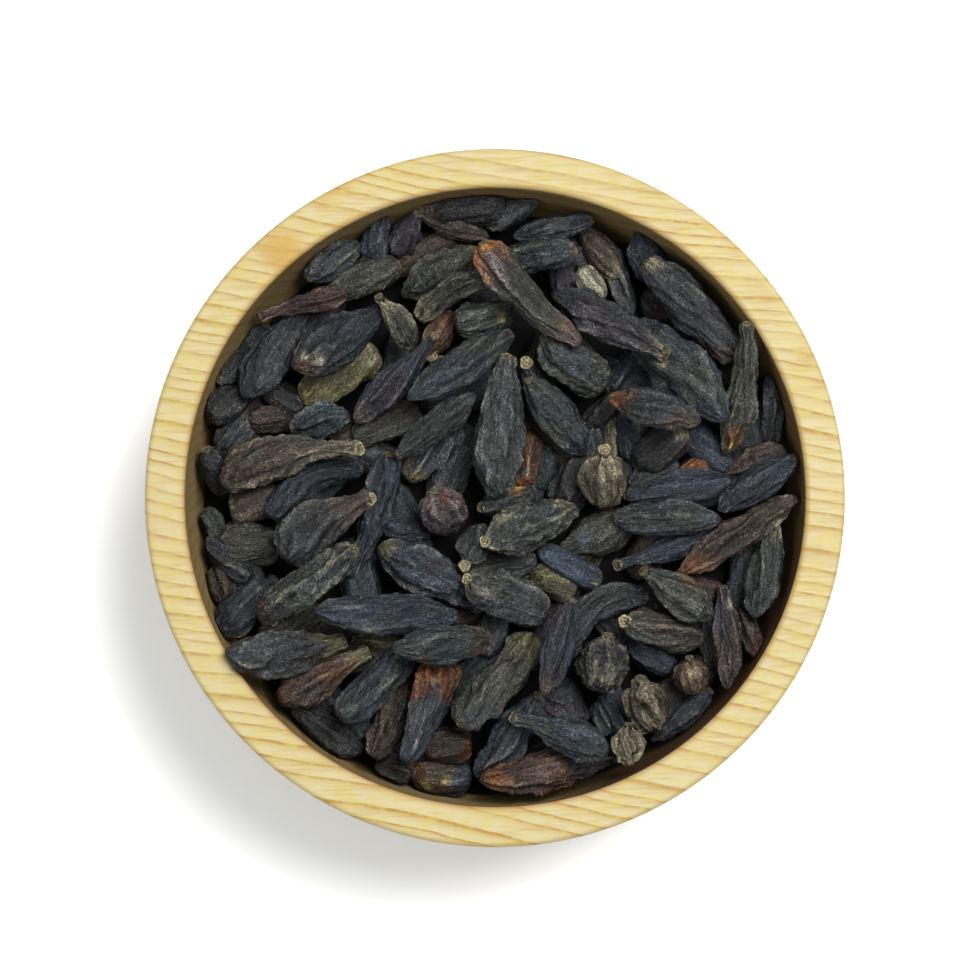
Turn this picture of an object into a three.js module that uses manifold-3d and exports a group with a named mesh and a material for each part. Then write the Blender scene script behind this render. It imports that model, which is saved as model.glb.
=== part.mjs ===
// A turned wooden bowl heaped with dried black myrobalan fruits.
// Millimetres, +Z up, origin in the middle of the bowl's flat foot.
import * as THREE from "three";
import { mergeVertices } from "three/addons/utils/BufferGeometryUtils.js";
import Module from "manifold-3d";

const wasm = await Module();
wasm.setup();

// Bowl
const bowlHeight = 52;
const rimRadius = 70;
const mouthRadius = 62;
const footRadius = 36;
const footChamfer = 0.8;
const floorHeight = 8;
const shoulderHeight = 46; // where the outside turns upright
const edgeRound = 1;
const edgeCut = 0.3; // share of the rounding left outside at its middle point
const bowlSides = 48;
const outsideSteps = 6;
const insideSteps = 6;
const wallFullness = 6; // a higher power makes the inner wall steeper at the mouth

// Heap
const clearance = 0.3; // between one piece and the next
const wallClearance = 0.5; // between the lower fruits and the bowl
const bedLevel = 37.5; // middle height of the lowest fruits that show
const layerRise = 1.5; // from one layer of lower fruits to the next
const coreDrop = 3.4; // the core's top below the lowest fruits' middles, in the middle of the bowl
const coreEdgeDrop = 1.6; // the same at the wall
const coreSides = 30;

// Deeper fruits, which fill the gaps
const hiddenFruits = 24;
const hiddenReach = 44; // how far from the axis the last of them lies
const hiddenAtWall = 12; // more of them, side by side along the wall
const hiddenWallReach = 53;
const hiddenLength = 18;
const hiddenWidth = 7.6;
const hiddenLayer = -1;
const hiddenTurn = 0.3; // how far those along the wall turn out of line, in radians
const goldenAngle = Math.PI * (3 - Math.sqrt(5));

// Seeds of the random draws
const topSeed = 100;
const lowSeed = 900;
const hiddenSeed = 700;
const wallSeed = 60;
const ringSeed = 17; // added for each ring of a fruit
const sideSeed = 3.7; // added for each side of a ring

// Fruits
const fullness = 1.06; // the widths below lie between the shaded edges, inside the true outline
const lowFullness = 1.08; // a lower fruit's edges are hidden as well
const wallShare = 0.35; // of a lower fruit's width, how far its ends keep from the wall
const flatness = 0.84; // a fruit's thickness to its width
const ridgeDepth = 0.07; // share of the radius that ridges stand out and grooves sink
const roughness = 0.05; // share of the radius that a wrinkled surface wanders
const twist = 0.5; // turn of the ridges from end to end, in radians
const topSides = 8;
const lowSides = 6;
const deepSides = 5; // of those that show little or nothing
const lowRings = [0, 2, 4, 6]; // the rings of a shape that a lower fruit keeps
const deepRings = [0, 2, 5, 7];
const hiddenRings = [1, 3, 6];

// How the top fruits settle
const steepest = 0.4; // the most that a tip stands above or below the stalk end, to the fruit's length
const leanSteps = [-1, -0.75, -0.5, -0.25, 0, 0.25, 0.5, 0.75, 1]; // shares of the steepest lean to try
const rollSteps = [-1.4, -0.7, 0, 0.7, 1.4]; // how far a fruit may roll from its place in each direction
const rollCost = 0.6; // height that a fruit must gain for each millimetre that it rolls

// Each shape is a list of rings from the stalk end to the tip: place along the length, share of the half width.
const shapes = {
  pear: [[0, 0.32], [0.09, 0.42], [0.22, 0.66], [0.4, 0.92], [0.58, 1.04], [0.77, 0.96], [0.89, 0.64], [0.97, 0.27]],
  club: [[0, 0.34], [0.13, 0.38], [0.27, 0.52], [0.42, 0.82], [0.6, 1.04], [0.79, 1], [0.92, 0.7], [0.98, 0.36]],
  spindle: [[0, 0.3], [0.06, 0.52], [0.19, 0.84], [0.38, 1.04], [0.58, 1.04], [0.76, 0.87], [0.89, 0.54], [0.97, 0.24]],
  capsule: [[0, 0.4], [0.04, 0.68], [0.15, 0.94], [0.36, 1.06], [0.62, 1.06], [0.83, 0.96], [0.95, 0.68], [0.99, 0.38]],
  taper: [[0, 0.44], [0.04, 0.78], [0.15, 1.04], [0.34, 1.02], [0.54, 0.86], [0.74, 0.66], [0.9, 0.5], [0.98, 0.32]],
  round: [[0, 0.26], [0.07, 0.36], [0.18, 0.78], [0.36, 1.02], [0.56, 1.04], [0.75, 0.92], [0.9, 0.64], [0.97, 0.34]],
};

// Fruits that lie on top, from the lowest to the topmost. at is the stalk end and to the tip, seen from above.
// bend is how far the middle stands off the straight line, to the left of the way from at to to.
// lean fixes how far the tip stands above the stalk end, and without it the fruit settles by itself.
const topFruits = [
  { name: "fruit_01", at: [-38.5, 37.9], to: [-50.8, 19.5], wide: 9, shape: "pear" },
  { name: "fruit_02", at: [4, 38.1], to: [-8.1, 35.1], wide: 6.4, shape: "capsule" },
  { name: "fruit_03", at: [-6.3, 14.5], to: [-16.6, 2.9], wide: 7.4, shape: "capsule" },
  { name: "fruit_04", at: [-41.3, 15.8], to: [-29.2, 18.3], wide: 7.2, shape: "spindle" },
  { name: "fruit_05", at: [-26.9, 6.3], to: [-45, -4.2], wide: 5.6, shape: "capsule", bend: -3.2 },
  { name: "fruit_06", at: [-20.2, 8.3], to: [-28.7, -16.3], wide: 6.8, shape: "taper", bend: 1.6 },
  { name: "fruit_07", at: [-26.2, -31.9], to: [-44.2, -42.2], wide: 8.2, shape: "club" },
  { name: "fruit_08", at: [-19.2, -37.5], to: [-25.3, -52.9], wide: 6.8, shape: "spindle", bend: 0.6 },
  { name: "fruit_09", at: [8.7, -39.5], to: [-4.2, -55.9], wide: 6.8, shape: "spindle", bend: 0.8 },
  { name: "fruit_10", at: [23, -53.5], to: [-4.6, -58], wide: 8.6, shape: "spindle" },
  { name: "fruit_11", at: [-13.5, 0.9], to: [-10.5, -7.6], wide: 9.6, shape: "round", lean: -5 },
  { name: "fruit_12", at: [32.1, 48.7], to: [50.6, 28.7], wide: 8.2, shape: "capsule" },
  { name: "fruit_13", at: [51.7, 35.8], to: [47.7, 10.2], wide: 6.8, shape: "pear", bend: 1.8 },
  { name: "fruit_14", at: [58, -4], to: [53.6, -24.2], wide: 7.4, shape: "pear", bend: 0.4 },
  { name: "fruit_15", at: [60.5, -0.1], to: [36.3, -15.6], wide: 6.6, shape: "spindle" },
  { name: "fruit_16", at: [45.7, -17.6], to: [46.5, -38.5], wide: 6, shape: "pear", bend: 0.6 },
  { name: "fruit_17", at: [60.4, 8], to: [44.7, -2.6], wide: 6.6, shape: "spindle" },
  { name: "fruit_18", at: [18.2, 58.1], to: [2.2, 54.8], wide: 5, shape: "spindle" },
  { name: "fruit_19", at: [16.7, 51.2], to: [1.6, 48.6], wide: 6.6, shape: "capsule", bend: -0.6 },
  { name: "fruit_20", at: [-4.7, 51.7], to: [-19.7, 43], wide: 8, shape: "spindle" },
  { name: "fruit_21", at: [-48.4, 36.7], to: [-30.2, 41.4], wide: 5, shape: "club", bend: 0.4 },
  { name: "fruit_22", at: [-23.1, 37.8], to: [-40.8, 26], wide: 10.4, shape: "pear", bend: 0.6 },
  { name: "fruit_23", at: [-24.8, 41], to: [-18.3, 30.2], wide: 5.6, shape: "pear", bend: 0.8 },
  { name: "fruit_24", at: [-16.5, 34.7], to: [-2, 41.8], wide: 5.4, shape: "capsule", bend: 2.6 },
  { name: "fruit_25", at: [-19.7, 8.4], to: [-3.8, 20.8], wide: 6.4, shape: "spindle" },
  { name: "fruit_26", at: [9.1, 31], to: [21.2, 20.9], wide: 9.6, shape: "capsule" },
  { name: "fruit_27", at: [6.7, 23.5], to: [18.1, 8.8], wide: 8, shape: "spindle", bend: 0.4 },
  { name: "fruit_29", at: [29.8, 36.1], to: [47.7, 16.1], wide: 11.4, shape: "spindle", bend: 0.6 },
  { name: "fruit_28", at: [24.7, 21.5], to: [42.5, 15.9], wide: 7, shape: "spindle" },
  { name: "fruit_30", at: [22, 9.6], to: [21.8, -1.3], wide: 9.4, shape: "round", lean: -7 },
  { name: "fruit_31", at: [-27.2, 9.6], to: [-55.1, 2.6], wide: 8.4, shape: "club", bend: -2.8 },
  { name: "fruit_32", at: [-26.4, 1.1], to: [-43.7, -11.3], wide: 10.8, shape: "club", bend: -1.4 },
  { name: "fruit_33", at: [-3.8, -21.4], to: [-25, -8.9], wide: 9.6, shape: "pear", bend: -0.6 },
  { name: "fruit_34", at: [-28.6, -9.5], to: [-47.8, -23.2], wide: 7, shape: "capsule", bend: 0.4 },
  { name: "fruit_35", at: [-31.6, -29.7], to: [-55.1, -32.7], wide: 8.6, shape: "pear", bend: 1.6 },
  { name: "fruit_36", at: [-16.3, -32.2], to: [-30.6, -45.7], wide: 7.4, shape: "capsule" },
  { name: "fruit_37", at: [-10.5, -32.2], to: [-18.7, -53.1], wide: 9, shape: "taper", bend: 0.4 },
  { name: "fruit_38", at: [22.8, -27.5], to: [20.6, -39], wide: 10.2, shape: "round" },
  { name: "fruit_39", at: [28.3, -36.2], to: [31.3, -46.9], wide: 9.6, shape: "round" },
  { name: "fruit_40", at: [28, -46.7], to: [28.2, -55.3], wide: 6.8, shape: "round" },
  { name: "fruit_41", at: [39, -32.1], to: [40, -39.2], wide: 6.8, shape: "round", lean: -4 },
  { name: "fruit_42", at: [32.3, -20.5], to: [14.6, -33.8], wide: 6.4, shape: "capsule", bend: -5 },
  { name: "fruit_43", at: [26, -24.8], to: [42.1, -27.8], wide: 6.6, shape: "capsule", bend: -0.8 },
  { name: "fruit_44", at: [25.6, -3.8], to: [47, -4.4], wide: 7.2, shape: "spindle" },
  { name: "fruit_45", at: [29.6, -13.4], to: [43.7, -22.9], wide: 7.6, shape: "pear", bend: 0.6 },
  { name: "fruit_46", at: [-7.5, -13.7], to: [-3, -5.3], wide: 7, shape: "round" },
  { name: "fruit_47", at: [-2, -9], to: [17.1, -1.9], wide: 8.6, shape: "spindle" },
  { name: "fruit_48", at: [-5.6, -16.4], to: [10.7, -22.9], wide: 8.6, shape: "capsule" },
  { name: "fruit_49", at: [-9.2, -22.3], to: [-37.5, -21.5], wide: 8, shape: "spindle", bend: 0.4 },
  { name: "fruit_50", at: [-2.2, -27.1], to: [-22, -29.3], wide: 7.6, shape: "spindle" },
  { name: "fruit_51", at: [-8.3, -45.3], to: [7, -28], wide: 8.8, shape: "capsule" },
  { name: "fruit_52", at: [15.4, -20.8], to: [9.6, -40.2], wide: 6, shape: "spindle" },
  { name: "fruit_53", at: [3.6, -44.1], to: [22.5, -51.6], wide: 8, shape: "club", bend: 0.6 },
  { name: "fruit_54", at: [33.6, 27], to: [10.7, 40.1], wide: 8.4, shape: "pear" },
  { name: "fruit_55", at: [-12.9, 33], to: [-29.2, 16.2], wide: 7, shape: "pear", bend: 0.6 },
  { name: "fruit_56", at: [3.4, 33.2], to: [-17.5, 19.1], wide: 7.6, shape: "spindle" },
  { name: "fruit_57", at: [-2.4, 50.7], to: [17.2, 30.5], wide: 7.6, shape: "taper", bend: -1.2 },
  { name: "fruit_58", at: [1.6, 28.7], to: [-0.8, 0.4], wide: 10.8, shape: "pear" },
];

// Fruits that show between them, grown together into one bed. A higher layer lies over a lower one.
const lowFruits = [
  { at: [-46.3, 35.6], to: [-51.4, 27.8], wide: 5.4, shape: "capsule", layer: 0 },
  { at: [-49.7, 16.7], to: [-41, 16.5], wide: 5.2, shape: "capsule", layer: 1 },
  { at: [-38.9, 20], to: [-23.9, 30.8], wide: 7.4, shape: "capsule", layer: 2 },
  { at: [-38.1, 44.9], to: [-27.2, 52], wide: 6.4, shape: "spindle", layer: 1 },
  { at: [-22.5, 58.1], to: [-25.8, 47.2], wide: 5.8, shape: "pear", layer: 1 },
  { at: [-15.6, 58.1], to: [-20.9, 49.4], wide: 6.4, shape: "pear", layer: 0 },
  { at: [-19.6, 47.8], to: [-33.8, 42.3], wide: 6.4, shape: "capsule", layer: 2 },
  { at: [-15.2, 58.7], to: [-1, 53.3], wide: 5.6, shape: "spindle", layer: 1 },
  { at: [-13.2, 58.7], to: [2.4, 59.5], wide: 7.2, shape: "capsule", layer: 0 },
  { at: [8.3, 60.8], to: [-1.8, 55.3], wide: 5.8, shape: "pear", layer: 2 },
  { at: [13.6, 49.8], to: [14, 40.1], wide: 5.4, shape: "spindle", layer: 1 },
  { at: [17.7, 47.4], to: [21.3, 40.5], wide: 5, shape: "capsule", layer: 1 },
  { at: [17.9, 55], to: [24.9, 45], wide: 5.8, shape: "spindle", layer: 1.4 },
  { at: [15, 50.2], to: [23.8, 44.7], wide: 4, shape: "spindle", layer: 0 },
  { at: [21.8, 53.8], to: [27.8, 36], wide: 4.6, shape: "spindle", layer: 0.4, bend: 0.6 },
  { at: [29.1, 54.7], to: [32.5, 43.3], wide: 7, shape: "spindle", layer: 0 },
  { at: [44.1, 35.6], to: [51.8, 28], wide: 5.4, shape: "capsule", layer: 0 },
  { at: [46.3, 29.1], to: [51.4, 20.9], wide: 5.4, shape: "capsule", layer: 0 },
  { at: [56.9, 25.4], to: [55.5, 10.8], wide: 5, shape: "capsule", layer: 0 },
  { at: [46.3, 6], to: [59.2, 9.4], wide: 7, shape: "pear", layer: 1 },
  { at: [26.6, 0.9], to: [53.8, 3.1], wide: 7.8, shape: "spindle", layer: 1 },
  { at: [24.7, -13.2], to: [44, -6.9], wide: 5.8, shape: "club", layer: 2 },
  { at: [13.6, -10], to: [28.4, -4], wide: 8.8, shape: "pear", layer: 1 },
  { at: [9.1, -10.1], to: [21.5, -17], wide: 5, shape: "capsule", layer: 2 },
  { at: [7.7, -14.3], to: [16.2, -19.2], wide: 5.6, shape: "capsule", layer: 1 },
  { at: [23.7, 17.1], to: [23.7, 8], wide: 3.4, shape: "spindle", layer: 1 },
  { at: [18.9, 16.3], to: [20.7, 6.1], wide: 6, shape: "capsule", layer: 0 },
  { at: [28, 19.8], to: [27.6, 7.6], wide: 6.2, shape: "capsule", layer: 1 },
  { at: [22.6, 22.6], to: [30.7, 30.3], wide: 6, shape: "capsule", layer: 0 },
  { at: [28.4, 7.1], to: [38.9, 14.4], wide: 7.6, shape: "capsule", layer: 2 },
  { at: [38.6, 15.1], to: [48.1, 5.8], wide: 6.2, shape: "capsule", layer: 1 },
  { at: [37.5, 5.6], to: [45.7, 8.4], wide: 4.2, shape: "spindle", layer: 1 },
  { at: [27.2, 3.3], to: [37.5, 7.2], wide: 5.2, shape: "capsule", layer: 1 },
  { at: [-8.3, 37.9], to: [-14.4, 28.8], wide: 5.4, shape: "spindle", layer: 2 },
  { at: [-28.4, 12.4], to: [-14.8, 18], wide: 6, shape: "capsule", layer: 2 },
  { at: [-33.7, 13.8], to: [-27, 15.2], wide: 5.6, shape: "capsule", layer: 0 },
  { at: [6.3, 27.5], to: [10.7, 20], wide: 6.4, shape: "pear", layer: 2, lean: -6 },
  { at: [7.5, 13.7], to: [4.9, 2.7], wide: 6.2, shape: "capsule", layer: 1 },
  { at: [11.2, 11.6], to: [8.5, 2.2], wide: 5.4, shape: "capsule", layer: 0 },
  { at: [19.7, 9.1], to: [12.6, -1], wide: 8, shape: "capsule", layer: 0 },
  { at: [18.7, 14.7], to: [25.2, 21.4], wide: 5, shape: "capsule", layer: 1 },
  { at: [-12.8, 29.1], to: [-9.1, 23.6], wide: 5.6, shape: "pear", layer: 1, lean: -4 },
  { at: [-43.1, 0.6], to: [-53.7, -2], wide: 7, shape: "capsule", layer: 2 },
  { at: [-55.8, -8.4], to: [-43.2, -9.2], wide: 8, shape: "capsule", layer: 1 },
  { at: [-57.8, -7.6], to: [-49.7, -16.5], wide: 5.6, shape: "capsule", layer: 1 },
  { at: [-55.5, -12.6], to: [-54.7, -20.7], wide: 5.6, shape: "capsule", layer: 0 },
  { at: [-58.3, -1.6], to: [-55.1, -8.7], wide: 4.4, shape: "capsule", layer: 0 },
  { at: [-44, -16.1], to: [-56.6, -26.9], wide: 7.8, shape: "pear", layer: 1 },
  { at: [-47.2, -27.8], to: [-35, -21.9], wide: 5.8, shape: "capsule", layer: 1.4 },
  { at: [-40.6, -29.7], to: [-28.8, -24], wide: 5.6, shape: "capsule", layer: 0.4 },
  { at: [-28.9, -28], to: [-17.7, -30.9], wide: 6.4, shape: "pear", layer: 0 },
  { at: [-40.2, -42.1], to: [-26.8, -51.2], wide: 7.4, shape: "pear", layer: 0 },
  { at: [-14.6, -49.6], to: [-4.7, -49], wide: 7.4, shape: "capsule", layer: 2 },
  { at: [-16.7, -55.1], to: [-4.7, -56.5], wide: 7.4, shape: "capsule", layer: 0 },
  { at: [43.7, -38.4], to: [31.5, -48.8], wide: 5.4, shape: "spindle", layer: 0 },
  { at: [-2.8, -1.6], to: [8.1, 1.4], wide: 5, shape: "capsule", layer: 2 },
  { at: [-51.1, 21.6], to: [-58.4, 17.1], wide: 7, shape: "capsule", layer: 1 },
  { at: [-49.4, 16.3], to: [-56.5, 10.6], wide: 6.4, shape: "capsule", layer: 0 },
  { at: [-58.3, 10], to: [-53.4, 1.6], wide: 5.8, shape: "capsule", layer: 0 },
  { at: [-55.5, 24], to: [-50.2, 29.5], wide: 5.4, shape: "capsule", layer: 0 },
  { at: [-46.3, 23], to: [-37.9, 18.2], wide: 5.6, shape: "capsule", layer: 1 },
  { at: [-22.7, -5], to: [-12.6, -7], wide: 4.6, shape: "spindle", layer: 1 },
  { at: [-5.5, -13.5], to: [8.7, -12.5], wide: 5.6, shape: "capsule", layer: 1 },
  { at: [1.4, -22.2], to: [-2.4, -31.6], wide: 6.4, shape: "capsule", layer: 1 },
  { at: [-10.8, -24.4], to: [-1.6, -22.4], wide: 4.8, shape: "capsule", layer: 0 },
  { at: [-30, -41.1], to: [-26.6, -48.4], wide: 6, shape: "capsule", layer: 1 },
  { at: [-23.4, -51.8], to: [-16.7, -55.9], wide: 6, shape: "capsule", layer: 0 },
  { at: [9.2, -39.6], to: [18.9, -44.7], wide: 6.4, shape: "capsule", layer: -0.5 },
  { at: [23.1, -37.6], to: [25.8, -47.2], wide: 5.4, shape: "capsule", layer: 1 },
  { at: [21.1, -40.6], to: [23.2, -47.6], wide: 4.2, shape: "capsule", layer: 0 },
  { at: [27.4, -28.7], to: [35.9, -34.6], wide: 5.6, shape: "capsule", layer: 1 },
  { at: [49.6, -22.1], to: [53.1, -31.7], wide: 4.4, shape: "capsule", layer: -0.6 },
  { at: [43.1, -23.2], to: [44.1, -34.6], wide: 5, shape: "capsule", layer: 0 },
  { at: [39, -16.7], to: [46.3, -19.1], wide: 4.6, shape: "capsule", layer: 0 },
  { at: [21.2, -22.9], to: [24.6, -27.8], wide: 4.6, shape: "capsule", layer: -0.6 },
];

const woodMaterial = new THREE.MeshStandardMaterial({ color: "#e6d29a", roughness: 0.62, metalness: 0 });
const fruitMaterial = new THREE.MeshStandardMaterial({ color: "#33312f", roughness: 0.55, metalness: 0 });
const bedMaterial = new THREE.MeshStandardMaterial({ color: "#26241f", roughness: 0.6, metalness: 0 });

// A repeatable number from 0 to 1 for a whole number.
function draw(seed) {
  const wave = Math.sin(seed * 12.9898 + 4.1) * 43758.5453;
  return wave - Math.floor(wave);
}

// Height of the bowl's inner wall at a distance from its axis.
function wallHeight(reach) {
  const share = Math.min(reach / mouthRadius, 1);
  return floorHeight + (bowlHeight - floorHeight) * (1 - Math.sqrt(1 - share ** wallFullness));
}

// Points down the inner wall from the mouth to the middle of the floor, moved in by a gap.
function insideProfile(steps, gap) {
  const points = [];
  for (let i = steps; i >= 1; i -= 1) {
    const angle = (i / steps) * (Math.PI / 2);
    const reach = mouthRadius * Math.sin(angle) ** (2 / wallFullness);
    const height = bowlHeight - (bowlHeight - floorHeight) * Math.cos(angle);
    points.push(new THREE.Vector2(reach - gap, height + gap * Math.cos(angle)));
  }
  return points;
}

// A profile turned about the vertical axis.
function turned(points, sides) {
  const geometry = new THREE.LatheGeometry(points, sides);
  geometry.rotateX(Math.PI / 2);
  return geometry;
}

function bowlGeometry() {
  const points = [new THREE.Vector2(0, 0), new THREE.Vector2(footRadius - footChamfer, 0)];
  for (let i = 0; i <= outsideSteps; i += 1) {
    const angle = (i / outsideSteps) * (Math.PI / 2);
    const reach = footRadius + (rimRadius - footRadius) * Math.sin(angle);
    const height = footChamfer + (shoulderHeight - footChamfer) * (1 - Math.cos(angle));
    points.push(new THREE.Vector2(reach, height));
  }
  points.push(new THREE.Vector2(rimRadius, bowlHeight - edgeRound));
  points.push(new THREE.Vector2(rimRadius - edgeRound * edgeCut, bowlHeight - edgeRound * edgeCut));
  points.push(new THREE.Vector2(rimRadius - edgeRound, bowlHeight));
  points.push(new THREE.Vector2(mouthRadius + edgeRound, bowlHeight));
  points.push(new THREE.Vector2(mouthRadius + edgeRound * edgeCut, bowlHeight - edgeRound * edgeCut));
  points.push(new THREE.Vector2(mouthRadius, bowlHeight - edgeRound));
  points.push(...insideProfile(insideSteps, 0).slice(1));
  points.push(new THREE.Vector2(0, floorHeight));
  return turned(points, bowlSides);
}

// A fruit's surface as points and triangles: rings of the given number of sides along its axis, and two end points.
// low and high are the heights of the axis at the stalk end and at the tip.
function fruitSurface(fruit, sides, rings, low, high, seed, full = fullness) {
  const start = new THREE.Vector3(fruit.at[0], fruit.at[1], low);
  const end = new THREE.Vector3(fruit.to[0], fruit.to[1], high);
  const along = new THREE.Vector3().subVectors(end, start);
  const left = new THREE.Vector3(-along.y, along.x, 0).normalize();
  const middle = start.clone().lerp(end, 0.5).addScaledVector(left, 2 * (fruit.bend || 0));
  const axis = new THREE.QuadraticBezierCurve3(start, middle, end);
  const points = [];
  rings.forEach(([place, share], ring) => {
    const centre = axis.getPoint(place);
    const forward = axis.getTangent(place);
    const across = new THREE.Vector3(forward.y, -forward.x, 0).normalize();
    const up = new THREE.Vector3().crossVectors(across, forward);
    for (let side = 0; side < sides; side += 1) {
      const angle = (side / sides) * 2 * Math.PI + twist * (place + draw(seed));
      const ridge = side % 2 ? ridgeDepth : -ridgeDepth;
      const wander = roughness * (2 * draw(seed + ringSeed * ring + sideSeed * side) - 1);
      const radius = 0.5 * fruit.wide * full * share * (1 + ridge + wander);
      points.push(
        centre
          .clone()
          .addScaledVector(across, radius * Math.cos(angle))
          .addScaledVector(up, radius * flatness * Math.sin(angle)),
      );
    }
  });
  const stalkEnd = points.push(start) - 1;
  const tipEnd = points.push(end) - 1;
  const last = (rings.length - 1) * sides;
  const triangles = [];
  for (let side = 0; side < sides; side += 1) {
    const next = (side + 1) % sides;
    triangles.push([stalkEnd, side, next]);
    triangles.push([tipEnd, last + next, last + side]);
    for (let row = 0; row < last; row += sides) {
      triangles.push([row + side, row + sides + side, row + next]);
      triangles.push([row + next, row + sides + side, row + sides + next]);
    }
  }
  return { points, triangles };
}

// Some of a shape's rings, for fruits that show little.
function chosen(rings, places) {
  return places.map((place) => rings[place]);
}

// The heap's height field: the highest surface so far above each cell of a square grid over the bowl.
const cell = 0.5;
const fieldHalf = rimRadius + 2;
const fieldSize = Math.round((2 * fieldHalf) / cell);
const field = new Float32Array(fieldSize * fieldSize);

// Calls visit with the cell and the height of every grid point under or over each triangle.
function overCells({ points, triangles }, visit) {
  for (const [first, second, third] of triangles) {
    const [a, b, c] = [points[first], points[second], points[third]];
    const area = (b.x - a.x) * (c.y - a.y) - (c.x - a.x) * (b.y - a.y);
    if (Math.abs(area) < 1e-6) continue;
    const column = (x) => Math.round((x + fieldHalf) / cell);
    const lastX = column(Math.max(a.x, b.x, c.x));
    const lastY = column(Math.max(a.y, b.y, c.y));
    for (let i = column(Math.min(a.x, b.x, c.x)); i <= lastX; i += 1) {
      for (let j = column(Math.min(a.y, b.y, c.y)); j <= lastY; j += 1) {
        const x = i * cell - fieldHalf;
        const y = j * cell - fieldHalf;
        const towardB = ((x - a.x) * (c.y - a.y) - (c.x - a.x) * (y - a.y)) / area;
        const towardC = ((b.x - a.x) * (y - a.y) - (x - a.x) * (b.y - a.y)) / area;
        if (towardB < 0 || towardC < 0 || towardB + towardC > 1) continue;
        visit(i * fieldSize + j, a.z + towardB * (b.z - a.z) + towardC * (c.z - a.z));
      }
    }
  }
}

function stamp(surface) {
  overCells(surface, (index, height) => {
    field[index] = Math.max(field[index], height);
  });
}

// How far a surface must rise to lie clear of everything stamped so far.
function liftOf(surface) {
  let lift = -Infinity;
  overCells(surface, (index, height) => {
    for (let i = -fieldSize; i <= fieldSize; i += fieldSize) {
      for (let j = -1; j <= 1; j += 1) {
        lift = Math.max(lift, field[index + i + j] + clearance - height);
      }
    }
  });
  return lift;
}

// Lays a fruit on the heap: it rolls a little aside and leans so that its middle lies lowest.
function settled(fruit, seed) {
  const span = Math.hypot(fruit.to[0] - fruit.at[0], fruit.to[1] - fruit.at[1]);
  const leans = fruit.lean === undefined ? leanSteps.map((step) => step * steepest * span) : [fruit.lean];
  let best = null;
  for (const aside of rollSteps) {
    for (const onward of rollSteps) {
      const moved = { ...fruit, at: shifted(fruit.at, aside, onward), to: shifted(fruit.to, aside, onward) };
      for (const rise of leans) {
        const surface = fruitSurface(moved, topSides, shapes[fruit.shape], -rise / 2, rise / 2, seed);
        const lift = liftOf(surface);
        const cost = lift + rollCost * Math.hypot(aside, onward);
        if (!best || cost < best.cost) best = { surface, lift, cost };
      }
    }
  }
  best.surface.points.forEach((point) => {
    point.z += best.lift;
  });
  return best.surface;
}

function shifted([x, y], aside, onward) {
  return [x + aside, y + onward];
}

// Height of a lower fruit's axis at one of its ends, where the wall may hold it up.
function bedHeight([x, y], half, layer) {
  const reach = Math.hypot(x, y) + half + wallClearance;
  return Math.max(bedLevel + layer * layerRise, wallHeight(Math.min(reach, mouthRadius - wallClearance)));
}

function lowSurface(fruit, sides, rings, seed) {
  const half = wallShare * fruit.wide;
  const lean = fruit.lean || 0;
  const low = bedHeight(fruit.at, half, fruit.layer) - lean / 2;
  const high = bedHeight(fruit.to, half, fruit.layer) + lean / 2;
  return fruitSurface(fruit, sides, rings, low, high, seed, lowFullness);
}

// A fruit deeper down, by its distance and direction from the middle and the way that it points.
function hiddenFruit(reach, spot, turn) {
  const centre = [reach * Math.cos(spot), reach * Math.sin(spot)];
  const half = [0.5 * hiddenLength * Math.cos(turn), 0.5 * hiddenLength * Math.sin(turn)];
  return {
    at: [centre[0] - half[0], centre[1] - half[1]],
    to: [centre[0] + half[0], centre[1] + half[1]],
    wide: hiddenWidth,
    shape: "capsule",
    layer: hiddenLayer,
  };
}

// Some are spread evenly by the golden angle and turned at random, and the rest lie along the wall.
function deeperFruits() {
  const fruits = [];
  for (let index = 0; index < hiddenFruits; index += 1) {
    const reach = hiddenReach * Math.sqrt((index + 0.5) / hiddenFruits);
    fruits.push(hiddenFruit(reach, index * goldenAngle, draw(index) * Math.PI));
  }
  for (let index = 0; index < hiddenAtWall; index += 1) {
    const spot = ((index + 0.5) / hiddenAtWall) * 2 * Math.PI;
    fruits.push(hiddenFruit(hiddenWallReach, spot, spot + Math.PI / 2 + hiddenTurn * (draw(wallSeed + index) - 0.5)));
  }
  return fruits;
}

function geometryOf({ points, triangles }) {
  const geometry = new THREE.BufferGeometry().setFromPoints(points);
  geometry.setIndex(triangles.flat());
  return geometry;
}

function solidOf(geometry) {
  const bare = geometry.clone();
  bare.deleteAttribute("normal");
  bare.deleteAttribute("uv");
  const merged = mergeVertices(bare, 1e-4);
  return new wasm.Manifold(
    new wasm.Mesh({
      numProp: 3,
      vertProperties: merged.attributes.position.array,
      triVerts: new Uint32Array(merged.index.array),
    }),
  );
}

function geometryOfSolid(solid) {
  const mesh = solid.getMesh();
  const geometry = new THREE.BufferGeometry();
  geometry.setAttribute("position", new THREE.BufferAttribute(new Float32Array(mesh.vertProperties), 3));
  geometry.setIndex(new THREE.BufferAttribute(mesh.triVerts, 1));
  return geometry;
}

function surfaceOf(geometry) {
  const place = geometry.attributes.position;
  const order = geometry.index.array;
  const points = [];
  const triangles = [];
  for (let i = 0; i < place.count; i += 1) points.push(new THREE.Vector3().fromBufferAttribute(place, i));
  for (let i = 0; i < order.length; i += 3) triangles.push([order[i], order[i + 1], order[i + 2]]);
  return { points, triangles };
}

// The space inside the bowl up to a height, a little clear of its wall.
function insideSolid(top, middleTop) {
  const wall = insideProfile(insideSteps, wallClearance).filter((point) => point.y < top);
  const points = [new THREE.Vector2(0, floorHeight + wallClearance)];
  points.push(...wall.reverse());
  const edge = Math.min(mouthRadius - wallClearance, wall[wall.length - 1].x);
  points.push(new THREE.Vector2(edge, top));
  points.push(new THREE.Vector2(0, middleTop));
  return solidOf(turned(points, coreSides));
}

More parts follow.
